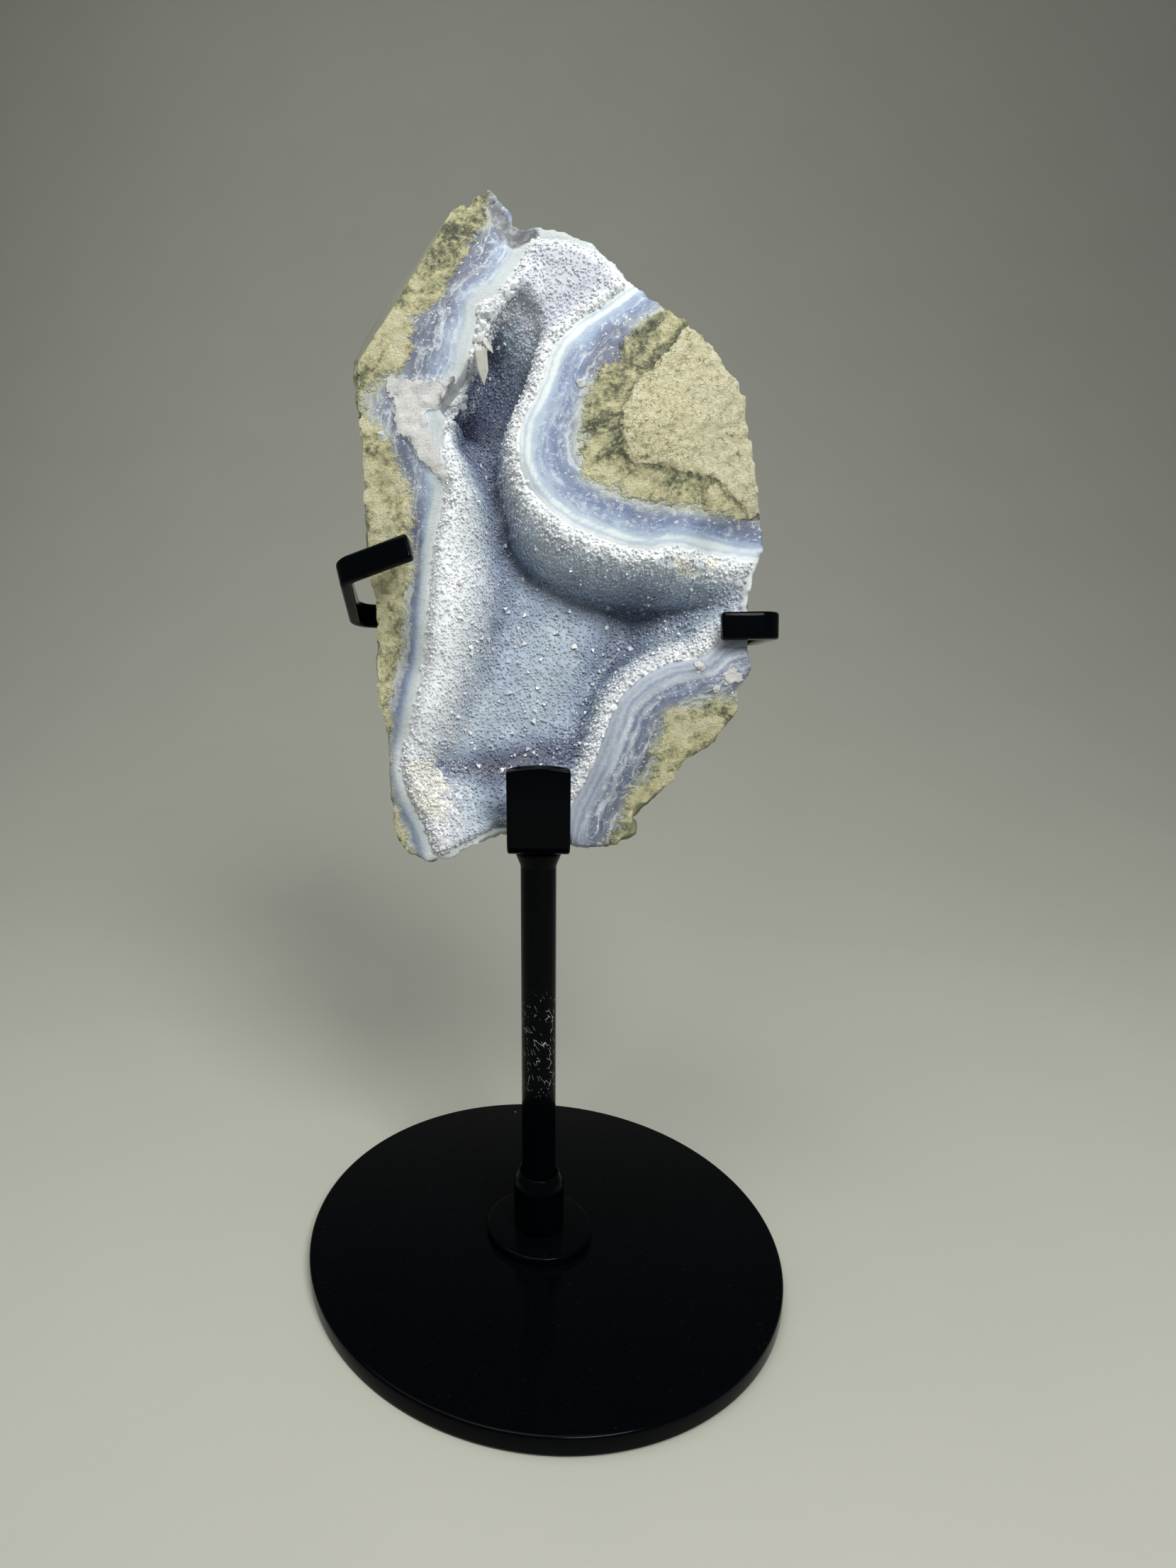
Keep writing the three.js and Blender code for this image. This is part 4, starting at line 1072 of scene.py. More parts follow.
grid_axes = [np.arange(low, high + CELL, CELL) for low, high in zip(GRID_LOW, GRID_HIGH)]
grid_x, grid_y = np.meshgrid(grid_axes[0], grid_axes[1], indexing="ij")
edge_map = inside_distance(FACE_EDGE, grid_x, grid_y)
rim_map = blended_height(RIM_HEIGHTS, RIM_REACH, grid_x, grid_y)
floor_map = blended_height(FLOOR_HEIGHTS, FLOOR_REACH, grid_x, grid_y)
wall_width = blended_height([wall[:3] for wall in WALLS], RIM_REACH, grid_x, grid_y)
round_part = blended_height([(x, y, part) for x, y, _, part in WALLS], RIM_REACH, grid_x, grid_y)
wall_part = np.clip(inside_distance(HOLLOW_EDGE, grid_x, grid_y) / wall_width, 0, 1)
wall_map = smooth(wall_part) * (1 - round_part) + (1 - np.sqrt(1 - wall_part ** 2)) * round_part
window_map = smooth(inside_distance(WINDOW_EDGE, grid_x, grid_y) / WINDOW_WALL)
face_map = rim_map + (floor_map - rim_map) * wall_map
window_floor = blended_height(WINDOW_FLOOR, FLOOR_REACH, grid_x, grid_y)
face_map = face_map + (np.minimum(face_map, window_floor) - face_map) * window_map
print("the face lies between", round(float(face_map.min()), 1), "and", round(float(face_map.max()), 1), "mm")

# %% Rind, caves and the whole field
LEAST_SLOPE = 0.6


def rind_field(x, y, z, edge):
    """Negative within the rind: it closes towards the back, swells gently and has its breaks cut off."""
    below = np.clip((-z - SIDE_DEPTH) / (BACK_DEPTH - SIDE_DEPTH), 0, 1)
    field = BACK_ROUNDING * (1 - np.sqrt(1 - below * below)) - edge
    for height, first, second in SWELLS:
        wave = np.sin(x * first[0] + y * first[1] + z * first[2])
        wave = wave * np.sin(x * second[0] + y * second[1] + z * second[2] + 1)
        field = field + height * wave * smooth(-z / SIDE_DEPTH)
    field = np.maximum(field, -z - BACK_DEPTH)
    for out, reach in BREAKS:
        field = np.maximum(field, x * out[0] + y * out[1] + z * out[2] - reach)
    return field


def cave_field(x, y, z):
    """Distance to the nearest cave, each a round-ended rod of empty space."""
    nearest = np.inf
    for start, end, radius in CAVES:
        along = np.subtract(end, start)
        part = (x - start[0]) * along[0] + (y - start[1]) * along[1] + (z - start[2]) * along[2]
        part = np.clip(part / (along @ along), 0, 1)
        away = (x - start[0] - part * along[0]) ** 2 + (y - start[1] - part * along[1]) ** 2
        away = away + (z - start[2] - part * along[2]) ** 2
        nearest = np.minimum(nearest, np.sqrt(away) - radius)
    return nearest


def normalised(field):
    """The field divided by its slope, so that it is a distance near the surface."""
    slopes = np.gradient(field, CELL)
    steep = np.sqrt(sum(s * s for s in slopes))
    return field / np.maximum(steep, LEAST_SLOPE)


x3, y3, z3 = (a.astype(np.float32) for a in np.meshgrid(*grid_axes, indexing="ij", sparse=True))
rind3 = rind_field(x3, y3, z3, edge_map[:, :, None])
plain3 = np.maximum(rind3, z3 - face_map[:, :, None])
plain3 = smooth_max(plain3, -cave_field(x3, y3, z3), CAVE_BLEND)
stone3 = normalised(plain3)
print("grid of", stone3.shape, "cells,", int((stone3 < 0).sum()), "inside")

# %% [markdown]
# ## Relief of the zones
# A bump in the material can't be seen from the side, so the coarse relief is in the shape. Only near the
# surface each zone moves the field by its own amount: the olive skin and the core are packed grains, the
# bands are nearly smooth and flatter still in the hollow, the fresh patch stands proud with broken flats,
# the tip is rough, and the rind is lumpy and pitted. The sawn facet stays flat. Last, the steel strips
# get room, so that the stone rests in them and doesn't run through them.

# %% Distances of the zones


def zone_distances(x, y):
    """Signed distances: white grows away from the hollow, and each of the others into its own zone."""
    white = -inside_distance(WHITE_EDGE, x, y)
    parts = [inside_distance(line, x, y) for line in (MATRIX_LEFT, MATRIX_ISLAND, MATRIX_LOBE)]
    matrix = np.maximum(np.maximum(parts[0], parts[1]), parts[2])
    places = np.stack([x, y], axis=-1)
    fresh = np.maximum(inside_distance(FRESH_PATCH, x, y), 2.4 * spots(FRESH_SPOTS, places) - 1.4)
    cream = np.maximum(inside_distance(CREAM_PATCH, x, y), 3 * spots(CREAM_SPOTS, places) - 1.6)
    return {
        "white": white, "matrix": matrix,
        "left": ((parts[0] >= parts[1]) & (parts[0] >= parts[2])).astype(float),
        "lobe": ((parts[2] > parts[0]) & (parts[2] > parts[1])).astype(float),
        "core": inside_distance(CORE_EDGE, x, y), "fresh": fresh,
        "tip": inside_distance(DARK_TIP, x, y), "cream": cream,
    }


def above_sawn(points):
    """How far a place is out past the plane of the sawn facet."""
    return points @ np.array(SAWN_OUT) - SAWN_REACH


print("zones:", list(zone_distances(*np.zeros((2, 1)))))

# %% Relief
NEAR = 2.2


def relief(points, zones, on_face, sawn):
    """How far the surface is cut back, in millimetres, at each point."""
    lumps = lattice_noise(points, 2.6, 11)
    ripples = lattice_noise(points, 1.1, 12)
    fine = lattice_noise(points, 0.6, 13)
    big_grains = grain_relief(points, 2.1, 14) - 0.5
    small_grains = grain_relief(points, 1.0, 15) - 0.5
    matrix = smooth(zones["matrix"] / 0.8 + 0.5 + 0.6 * ripples)
    core = smooth(zones["core"] / 0.5 + 0.5 + 0.5 * ripples)
    band = (0.12 * lumps + 0.06 * ripples + 0.05 * fine) * (0.35 + 0.65 * smooth(zones["white"] + 0.5))
    skin = 0.55 * big_grains + 0.35 * small_grains + 0.2 * ripples + 0.12 * fine
    heart = 0.8 * small_grains + 0.2 * lumps + 0.25 * ripples + 0.2 * fine - 0.45
    face = band + (skin - band) * matrix
    face = face + (heart - face) * core
    fresh = smooth(zones["fresh"] / 0.5 + 0.3 + 0.5 * ripples)
    face = face - fresh * (0.35 - 0.5 * big_grains + 0.15 * lumps + 0.3 * ripples + 0.2 * fine)
    tip = smooth(zones["tip"] / 0.6 + 0.5)
    face = face + tip * (0.7 * big_grains + 0.3 * ripples + 0.3)
    rind = 0.4 * lumps + 0.3 * ripples + 0.6 * big_grains + 0.4 * small_grains + 0.1 * fine
    mixed = rind + (face - rind) * on_face
    return mixed * (1 - sawn)


near = np.nonzero(np.abs(stone3) < NEAR)
near_points = np.stack([axis[index] for axis, index in zip(grid_axes, near)], axis=1)
near_zones = zone_distances(near_points[:, 0], near_points[:, 1])
face_gap = near_points[:, 2] - face_map[near[0], near[1]]
on_face = smooth((face_gap - rind3[near]) / 1.2 + 0.5)
sawn = smooth(above_sawn(near_points) / 0.5 + 1.6)
stone3[near] += relief(near_points, near_zones, on_face, sawn)
print("relief on", len(near_points), "places near the surface")

# %% Room for the steel


def strip_distance(points, corners, width, thickness):
    """Distance to a strip's straight runs, negative inside."""
    nearest = np.full(len(points), np.inf)
    for (start, across, _), (end, _, _) in zip(corners[:-1], corners[1:]):
        start, end = np.array(start, float), np.array(end, float)
        along = unit(end - start)
        across = unit(np.array(across, float) - np.dot(across, along) * along)
        offset = points - (start + end) / 2
        length = np.linalg.norm(end - start) + thickness
        run = np.maximum(np.abs(offset @ along) - length / 2, np.abs(offset @ across) - width / 2)
        run = np.maximum(run, np.abs(offset @ np.cross(along, across)) - thickness / 2)
        nearest = np.minimum(nearest, run)
    return nearest


def steel_distance(points):
    """Distance from places in the stone's frame to the nearer of the two strips, with a little air."""
    places = to_frame(points)
    return np.minimum(
        strip_distance(places, CRADLE_ROUTE, STRIP_WIDTH + TOUCH, STRIP_THICKNESS + TOUCH),
        strip_distance(places, BAND_ROUTE, BAND_WIDTH + TOUCH, BAND_THICKNESS + TOUCH))


near_steel = steel_distance(near_points)
stone3[near] = np.maximum(stone3[near], -near_steel)
print("room for the steel at", int((near_steel < 0).sum()), "places")

# %% [markdown]
# ## From field to mesh
# A surface net puts one vertex in each grid cell that the surface passes through, at the middle of its
# crossings, and one quad for each grid line that it crosses. Marching cubes gives slivers and Blender's
# volume modifiers need a volume grid from elsewhere. A net is short, even and made of quads. Where the
# surface would touch itself along an edge, that pinch is filled first.

# %% Surface net


def fill_pinches(field):
    """Where the four corners of a grid face are in and out by turns the surface would touch itself."""
    while True:
        filled = 0
        for a, b in ((0, 1), (1, 2), (2, 0)):
            def part(i, j):
                cut = [slice(None)] * 3
                cut[a] = slice(i, field.shape[a] - 1 + i)
                cut[b] = slice(j, field.shape[b] - 1 + j)
                return field[tuple(cut)]
            corners = [part(0, 0), part(1, 0), part(1, 1), part(0, 1)]
            one, two, three, four = (c < 0 for c in corners)
            turns = (one == three) & (two == four) & (one != two)
            filled += int(turns.sum())
            for corner in corners:
                corner[turns & (corner >= 0)] = -0.1 * CELL
        if not filled:
            return field


def cells_beside(where, first, second, shape):
    """The cell that lies a step back along two axes from each crossing, and whether it is in the grid."""
    cell = [index.copy() for index in where]
    for axis, step in (first, second):
        cell[axis] -= step
    good = np.ones(len(where[0]), bool)
    for axis, step in (first, second):
        good &= (cell[axis] >= 0) & (cell[axis] < shape[axis])
    return cell, good


def surface_net(field):
    """Vertices and quads where the field is zero, in the stone's frame."""
    inside = field < 0
    shape = np.array(field.shape) - 1
    total = np.zeros((*shape, 3), np.float32)
    count = np.zeros(shape, np.int8)
    crossings = []
    for axis in range(3):
        low, high = [slice(None)] * 3, [slice(None)] * 3
        low[axis], high[axis] = slice(0, -1), slice(1, None)
        crossed = inside[tuple(low)] != inside[tuple(high)]
        where = np.nonzero(crossed)
        start, end = field[tuple(low)][where], field[tuple(high)][where]
        part = start / (start - end)
        crossings.append((where, inside[tuple(low)][where]))
        b, c = (axis + 1) % 3, (axis + 2) % 3
        for m, n in itertools.product((0, 1), repeat=2):
            cell, good = cells_beside(where, (b, m), (c, n), shape)
            index = tuple(w[good] for w in cell)
            spot = np.zeros((good.sum(), 3), np.float32)
            spot[:, axis] = part[good]
            spot[:, b] = m
            spot[:, c] = n
            np.add.at(total, index, spot)
            np.add.at(count, index, 1)
    cells = np.nonzero(count)
    number = np.full(shape, -1, np.int64)
    number[cells] = np.arange(len(cells[0]))
    points = np.stack(cells, axis=1) + total[cells] / count[cells][:, None]
    quads = []
    for axis, (where, inward) in enumerate(crossings):
        b, c = (axis + 1) % 3, (axis + 2) % 3
        corners = []
        whole = np.ones(len(where[0]), bool)
        for m, n in ((0, 0), (1, 0), (1, 1), (0, 1)):
            cell, good = cells_beside(where, (b, m), (c, n), shape)
            whole &= good
            corners.append(number[tuple(np.clip(w, 0, s - 1) for w, s in zip(cell, shape))])
        quad = np.stack(corners, axis=1)
        quad[~inward] = quad[~inward][:, ::-1]
        quads.append(quad[whole])
    return GRID_LOW + points * CELL, np.concatenate(quads)


print("cells of", CELL, "mm")

# %% Loose crumbs, and reading a field


def largest_part(points, quads):
    """Drops loose crumbs: keeps the vertices that hang together with the most others."""
    label = np.arange(len(points))
    while True:
        least = label[quads].min(axis=1)
        new = label.copy()
        for corner in range(4):
            np.minimum.at(new, quads[:, corner], least)
        new = new[new]
        if (new == label).all():
            break
        label = new
    names, sizes = np.unique(label, return_counts=True)
    kept = label == names[sizes.argmax()]
    renumber = np.cumsum(kept) - 1
    return points[kept], renumber[quads[kept[quads[:, 0]]]]


def sample(field, points):
    """The field between its grid points."""
    place = np.clip((points - GRID_LOW) / CELL, 0, np.array(field.shape) - 1.001)
    corner = place.astype(np.int64)
    total = np.zeros(len(points))
    for step, weight in cell_weights(place - corner):
        total += weight * field[tuple((corner + step).T)]
    return total


def slope(field, points):
    """The direction in which the field grows, which is out of the surface."""
    found = [sample(field, points + step) - sample(field, points - step) for step in np.eye(3) * CELL]
    found = np.stack(found, axis=1)
    return found / np.maximum(np.linalg.norm(found, axis=1), 1e-9)[:, None]


stone_points, stone_quads = largest_part(*surface_net(fill_pinches(stone3)))
print("stone:", len(stone_points), "points,", len(stone_quads), "quads")

# %% [markdown]
# ## The bands
# Every zone has its own colours. The bands run through a colour ramp that reads how far a point is from
# the white line towards the olive skin, pushed about by noise so that no band is a perfect offset. A wave
# texture would give bands as well, but all of one width, and real bands are not. Thin streaks come from
# noise that is stretched along the bands, and pale clouds and chips from plain noise. The island, the
# left side and the lower lobe have ramps of their own, because the real bands differ there.

# %% Ramps of the bands
ISLAND_BANDS = [
    (0.00, srgb(186, 203, 220)), (0.14, srgb(178, 196, 216)), (0.28, srgb(152, 172, 200)),
    (0.44, srgb(130, 149, 184)), (0.58, srgb(112, 129, 166)), (0.72, srgb(128, 143, 168)),
    (0.86, srgb(162, 170, 172)), (1.00, srgb(158, 162, 140)),
]
LEFT_BANDS = [
    (0.00, srgb(212, 221, 226)), (0.12, srgb(196, 209, 220)), (0.26, srgb(160, 177, 200)),
    (0.44, srgb(124, 139, 168)), (0.60, srgb(106, 118, 144)), (0.76, srgb(120, 129, 148)),
    (0.90, srgb(138, 145, 150)), (1.00, srgb(158, 160, 138)),
]
LOBE_BANDS = [
    (0.00, srgb(150, 161, 178)), (0.08, srgb(176, 187, 202)), (0.16, srgb(138, 150, 173)),
    (0.24, srgb(168, 179, 197)), (0.32, srgb(130, 142, 166)), (0.42, srgb(106, 117, 142)),
    (0.50, srgb(148, 159, 178)), (0.60, srgb(94, 103, 126)), (0.70, srgb(122, 131, 148)),
    (0.82, srgb(80, 87, 102)), (1.00, srgb(112, 115, 98)),
]
print("ramps of", len(ISLAND_BANDS), len(LEFT_BANDS), "and", len(LOBE_BANDS), "colours")

# %% Bands
LINE_WHITE = srgb(219, 229, 233)
STREAK_BLUE = srgb(104, 118, 156)
STREAK_PALE = srgb(214, 223, 232)
SLATE = srgb(88, 97, 120)
CHIP_WHITE = srgb(232, 236, 240)


def band_colour(tree, place, white, band):
    """The bands with their streaks, clouds and chips, and the white line at the hollow."""
    ready = rise(tree, white, 0.2, 2.2)
    warp = times(tree, ready, centred(tree, place, 0.22, 4.0, 0.55))
    jitter = centred(tree, place, 1.2, 3.0, 0.16)
    moved = plus(tree, plus(tree, band, warp), jitter)
    colour = ramp(tree, moved, ISLAND_BANDS)
    colour = mix(tree, value_of(tree, "left"), colour, ramp(tree, moved, LEFT_BANDS))
    colour = mix(tree, value_of(tree, "lobe"), colour, ramp(tree, moved, LOBE_BANDS))
    colour = mix(tree, times(tree, value_of(tree, "slate"), rise(tree, moved, 0.28, 0.6)), colour, SLATE)
    parts = node(tree, "SeparateXYZ", {0: place}).outputs
    across = times(tree, plus(tree, white, centred(tree, place, 0.5, 2.0, 0.8)), 1.3)
    along = {0: across, 1: times(tree, parts[0], 0.12), 2: times(tree, parts[1], 0.12)}
    streak = noise(tree, node(tree, "CombineXYZ", along).outputs[0], 1.0, 5.0, 0.65)
    inner = rise(tree, white, 1.0, 2.4)
    dark = times(tree, rise(tree, streak, 0.49, 0.64), times(tree, inner, 0.65))
    pale = times(tree, rise(tree, one_minus(tree, streak), 0.52, 0.66), times(tree, inner, 0.6))
    colour = mix(tree, dark, colour, STREAK_BLUE)
    colour = mix(tree, pale, colour, STREAK_PALE)
    cloud = rise(tree, noise(tree, place, 0.7, 5.0, 0.75), 0.50, 0.68)
    colour = mix(tree, times(tree, cloud, times(tree, inner, 0.6)), colour, STREAK_PALE)
    chips = rise(tree, noise(tree, place, 1.9, 4.0, 0.65), 0.60, 0.66)
    colour = mix(tree, times(tree, chips, times(tree, inner, 0.75)), colour, CHIP_WHITE)
    offset = plus(tree, value_of(tree, "line"), centred(tree, place, 0.9, 3.0, 0.6))
    offset = plus(tree, offset, centred(tree, place, 0.12, 2.0, 1.2))
    line = one_minus(tree, rise(tree, offset, 0.15, 0.65))
    return mix(tree, times(tree, line, value_of(tree, "lined")), colour, LINE_WHITE)


print("the slate spots are", tuple(round(part, 3) for part in SLATE[:3]), "in light")

# %% [markdown]
# ## Skin, core, rind and sawn facet
# The olive skin is a crowd of crystals that stand on the bands, so its fibres fan out from the middle of
# the island. The cream core is finer and paler, with brown cracks and specks. The rind is brown and grey,
# and the sawn facet shows the streaks of the saw. All four could be single colours under a strong bump,
# but up close the tone changes from grain to grain. So each is a ramp that is read through several noises
# of different size.

# %% Olive skin
OLIVE_DEEP = srgb(82, 86, 70)
OLIVE_DARK = srgb(116, 119, 98)
OLIVE_MID = srgb(150, 152, 122)
OLIVE_LIGHT = srgb(196, 196, 158)
CREAM_MID = srgb(226, 221, 174)
CREAM_LIGHT = srgb(244, 241, 205)
SKIN_TONES = [
    (0.26, OLIVE_DEEP), (0.42, OLIVE_DARK), (0.54, OLIVE_MID), (0.66, OLIVE_LIGHT), (0.80, CREAM_MID),
    (0.94, CREAM_LIGHT),
]


def skin_colour(tree, place, grains):
    """The olive skin: dark patches by the core, fibres that stand on the bands, and cream grains."""
    parts = node(tree, "SeparateXYZ", {0: place}).outputs
    across = calc(tree, "SUBTRACT", parts[0], ISLAND_HEART[0])
    up = calc(tree, "SUBTRACT", parts[1], ISLAND_HEART[1])
    around = times(tree, calc(tree, "ARCTAN2", up, across), 22.0)
    fan = {0: around, 1: times(tree, value_of(tree, "matrix"), 0.5), 2: times(tree, parts[1], 0.25)}
    fibre_place = node(tree, "CombineXYZ", fan).outputs[0]
    shade = plus(tree, 0.75, centred(tree, place, 0.34, 4.0, 1.8))
    shade = plus(tree, shade, centred(tree, fibre_place, 1.0, 5.0, 0.9))
    shade = plus(tree, shade, centred(tree, place, 1.5, 5.0, 0.9))
    by_core = rise(tree, value_of(tree, "core"), -5.0, -0.5)
    shade = calc(tree, "SUBTRACT", shade, times(tree, by_core, 0.14))
    shade = plus(tree, shade, times(tree, value_of(tree, "gold"), 0.3))
    colour = ramp(tree, shade, SKIN_TONES)
    edges = times(tree, grains["Joint"], rise(tree, noise(tree, place, 0.7, 3.0), 0.45, 0.65))
    colour = mix(tree, times(tree, edges, 0.55), colour, OLIVE_LIGHT)
    bright = rise(tree, noise(tree, place, 2.0, 4.0, 0.7), 0.60, 0.67)
    return mix(tree, times(tree, bright, 0.75), colour, CREAM_LIGHT)


print("the skin has", len(SKIN_TONES), "tones")

# %% Cream core
CORE_PALE = srgb(250, 247, 222)
CORE_BROWN = srgb(150, 140, 88)
SPECK_BROWN = srgb(112, 100, 66)
CRACK_BROWN = srgb(128, 114, 74)
CORE_TONES = [
    (0.33, SPECK_BROWN), (0.40, CORE_BROWN), (0.46, CREAM_MID), (0.52, CREAM_LIGHT), (0.62, CORE_PALE),
]


def core_colour(tree, place, grains):
    """The cream core: packed pale grains with dark pits, upright ridges on its right, cracks and specks."""
    right = rise(tree, node(tree, "SeparateXYZ", {0: place}).outputs[0], 19.0, 26.0)
    ridges = noise(tree, stretched(tree, place, (1.8, 0.45, 1.0)), 1.0, 6.0, 0.8)
    rough = blend_values(tree, times(tree, right, 0.45), noise(tree, place, 1.7, 6.0, 0.85), ridges)
    colour = ramp(tree, rough, CORE_TONES)
    colour = mix(tree, times(tree, right, 0.3), colour, CORE_PALE)
    colour = mix(tree, times(tree, rise(tree, grains["Shade"], 0.5, 1.0), 0.3), colour, CORE_PALE)
    shown = rise(tree, noise(tree, place, 0.5, 4.0, 0.7), 0.50, 0.66)
    cracks = times(tree, grains["Joint"], times(tree, shown, 0.75))
    colour = mix(tree, cracks, colour, CRACK_BROWN)
    clusters = rise(tree, noise(tree, place, 0.22, 3.0), 0.46, 0.62)
    fine = times(tree, rise(tree, noise(tree, place, 2.2, 5.0, 0.8), 0.60, 0.66), clusters)
    return mix(tree, times(tree, fine, 0.8), colour, SPECK_BROWN)


print("the core has", len(CORE_TONES), "tones")

# %% Rind and sawn facet
RIND_GREY = srgb(138, 136, 118)
RIND_PALE = srgb(186, 180, 146)
RIND_BROWN = srgb(98, 88, 66)
SAWN_GREEN = srgb(116, 122, 112)
SAWN_PALE = srgb(162, 166, 155)
SAWN_LINE = srgb(196, 188, 120)
SAW_ANGLE = 0.59


def rind_colour(tree, place):
    """The rind: grey and pale clouds, brown stains and cream grains."""
    cloud = noise(tree, place, 0.14, 5.0, 0.65)
    colour = mix(tree, rise(tree, cloud, 0.38, 0.66), RIND_GREY, RIND_PALE)
    stains = rise(tree, noise(tree, place, 0.5, 5.0, 0.7), 0.50, 0.70)
    colour = mix(tree, times(tree, stains, 0.75), colour, RIND_BROWN)
    grains = rise(tree, noise(tree, place, 2.2, 4.0, 0.7), 0.56, 0.70)
    return mix(tree, times(tree, grains, 0.6), colour, CREAM_MID)


def sawn_colour(tree, place, depth):
    """The sawn facet: grey green, with saw streaks along it and a yellow line at its edge."""
    turned = {"Vector": place, "Angle": SAW_ANGLE}
    slanted = node(tree, "VectorRotate", turned, rotation_type="Z_AXIS").outputs[0]
    streaks = noise(tree, stretched(tree, slanted, (2.2, 0.04, 2.2)), 1.0, 3.0)
    colour = mix(tree, rise(tree, streaks, 0.42, 0.62), SAWN_GREEN, SAWN_PALE)
    return mix(tree, calc(tree, "SUBTRACT", 0.8, rise(tree, depth, 0.5, 1.3)), colour, SAWN_LINE)


print("the saw's streaks lean", round(math.degrees(SAW_ANGLE)), "degrees")

# %% [markdown]
# ## One material for the whole stone
# The zones run into each other, so they are parts of one material and not of several. Each zone is laid
# over those before it, and its mask is a distance with noise added, which makes the border ragged. Then the
# gloss and the bump follow the same masks. The bands are smooth and a little waxy, the core is dull,
# and the whole stone lets some light in. A second material on picked faces would show its border as steps.

# %% Agate colour
DRUZY_EDGE = srgb(224, 231, 236)
LOBE_EDGE = srgb(172, 181, 196)
HAZE = srgb(190, 196, 184)
FRESH_WHITE = srgb(246, 248, 249)
FRESH_SHADE = srgb(202, 209, 222)
TIP_GREY = srgb(112, 116, 124)
TIP_PALE = srgb(176, 182, 192)
GRAIN_SIZE = 0.75


def agate_colour(tree, place, wavy):
    """The colour of the whole stone, and the masks and grains that gloss and bump need too."""
    matrix, outside, sawn_part = (value_of(tree, name) for name in ("matrix", "outside", "sawn"))
    ragged = centred(tree, place, 0.8, 4.0, 1.0)
    colour = band_colour(tree, place, wavy, value_of(tree, "band"))
    edge = mix(tree, value_of(tree, "lobe"), DRUZY_EDGE, LOBE_EDGE)
    colour = mix(tree, rise(tree, times(tree, wavy, -1.0), 0.0, 0.5), colour, edge)
    near_skin = plus(tree, matrix, centred(tree, place, 0.6, 4.0, 4.0))
    hazy = calc(tree, "SUBTRACT", 0.6, times(tree, value_of(tree, "slate"), 0.6))
    colour = mix(tree, times(tree, rise(tree, near_skin, -2.2, 0.0), hazy), colour, HAZE)
    border = plus(tree, centred(tree, place, 0.35, 5.0, 6.0), centred(tree, place, 1.4, 4.0, 2.0))
    in_skin = rise(tree, plus(tree, matrix, border), -0.8, 0.6)
    grains = use_group(tree, GRAINS, {"Place": place, "Size": GRAIN_SIZE})
    colour = mix(tree, in_skin, colour, skin_colour(tree, place, grains))
    core_edge = plus(tree, value_of(tree, "core"), times(tree, ragged, 3.0))
    in_core = rise(tree, core_edge, -0.15, 0.15)
    # A thin dark olive line just outside the core is painted shadow under the core's raised edge.
    colour = mix(tree, times(tree, rise(tree, core_edge, -0.9, -0.1), 0.55), colour, OLIVE_DEEP)
    colour = mix(tree, in_core, colour, core_colour(tree, place, grains))
    in_fresh = rise(tree, plus(tree, value_of(tree, "fresh"), times(tree, ragged, 3.0)), -0.15, 0.25)
    cloud = rise(tree, noise(tree, place, 0.6, 5.0, 0.75), 0.50, 0.72)
    colour = mix(tree, in_fresh, colour, mix(tree, cloud, FRESH_WHITE, FRESH_SHADE))
    in_tip = rise(tree, plus(tree, value_of(tree, "tip"), ragged), -0.2, 0.4)
    cloud = rise(tree, noise(tree, place, 0.8, 4.0, 0.7), 0.45, 0.7)
    colour = mix(tree, in_tip, colour, mix(tree, cloud, TIP_GREY, TIP_PALE))
    colour = mix(tree, outside, colour, rind_colour(tree, place))
    colour = mix(tree, sawn_part, colour, sawn_colour(tree, place, value_of(tree, "below")))
    masks = {"skin": in_skin, "core": in_core, "fresh": in_fresh, "outside": outside, "sawn": sawn_part}
    return colour, masks, grains


print("grains of", GRAIN_SIZE, "mm")

# %% Agate gloss, bump and material
AGATE_IOR = 1.54


def agate_roughness(tree, masks):
    rough = blend_values(tree, masks["skin"], 0.30, 0.46)
    for name, value in (("core", 0.75), ("outside", 0.7), ("sawn", 0.34)):
        rough = blend_values(tree, masks[name], rough, value)
    return rough


def agate_height(tree, place, wavy, masks, grains):
    """Small relief in millimetres: strong in skin and core, faint on the bands, none on the sawn facet."""
    worked = calc(tree, "MAXIMUM", masks["skin"], times(tree, masks["fresh"], 0.7))
    worked = plus(tree, worked, masks["core"])
    sugar = times(tree, value_of(tree, "left"), one_minus(tree, rise(tree, wavy, 0.6, 2.4)))
    worked = plus(tree, worked, times(tree, sugar, 0.4))
    coarse = times(tree, noise(tree, place, 1.7, 6.0, 0.85), blend_values(tree, worked, 0.10, 0.55))
    packed = times(tree, grains["Height"], times(tree, masks["skin"], 0.10))
    fine = times(tree, noise(tree, place, 3.6, 4.0, 0.8), blend_values(tree, worked, 0.04, 0.34))
    height = plus(tree, plus(tree, coarse, packed), fine)
    return times(tree, height, one_minus(tree, masks["sawn"]))


def agate_material():
    material, tree, shader = new_material("banded_agate")
    place = vector_of(tree, "place")
    wavy = plus(tree, value_of(tree, "white"), centred(tree, place, 0.5, 2.0, 0.9))
    colour, masks, grains = agate_colour(tree, place, wavy)
    link(tree, colour, shader, "Base Color")
    link(tree, agate_roughness(tree, masks), shader, "Roughness")
    add_bump(tree, shader, agate_height(tree, place, wavy, masks, grains))
    shader.inputs["IOR"].default_value = AGATE_IOR
    let_light_in(shader, 0.12, (0.9, 1.0, 1.2))
    return material


agate_stone = agate_material()
print("agate material of", len(agate_stone.node_tree.nodes), "nodes")

# %% [markdown]
# ## Values at the stone's points
# The material reads named attributes, one number for each point of the mesh: the distances to the lines,
# how deep a point lies under the rim, and whether it is on the rind or on the sawn facet. Vertex colours
# could hold them too, but a named attribute may be any number and can be read by its name. The bands are
# shaded smooth, and skin, core and rind are left faceted, because real grains have flat faces.

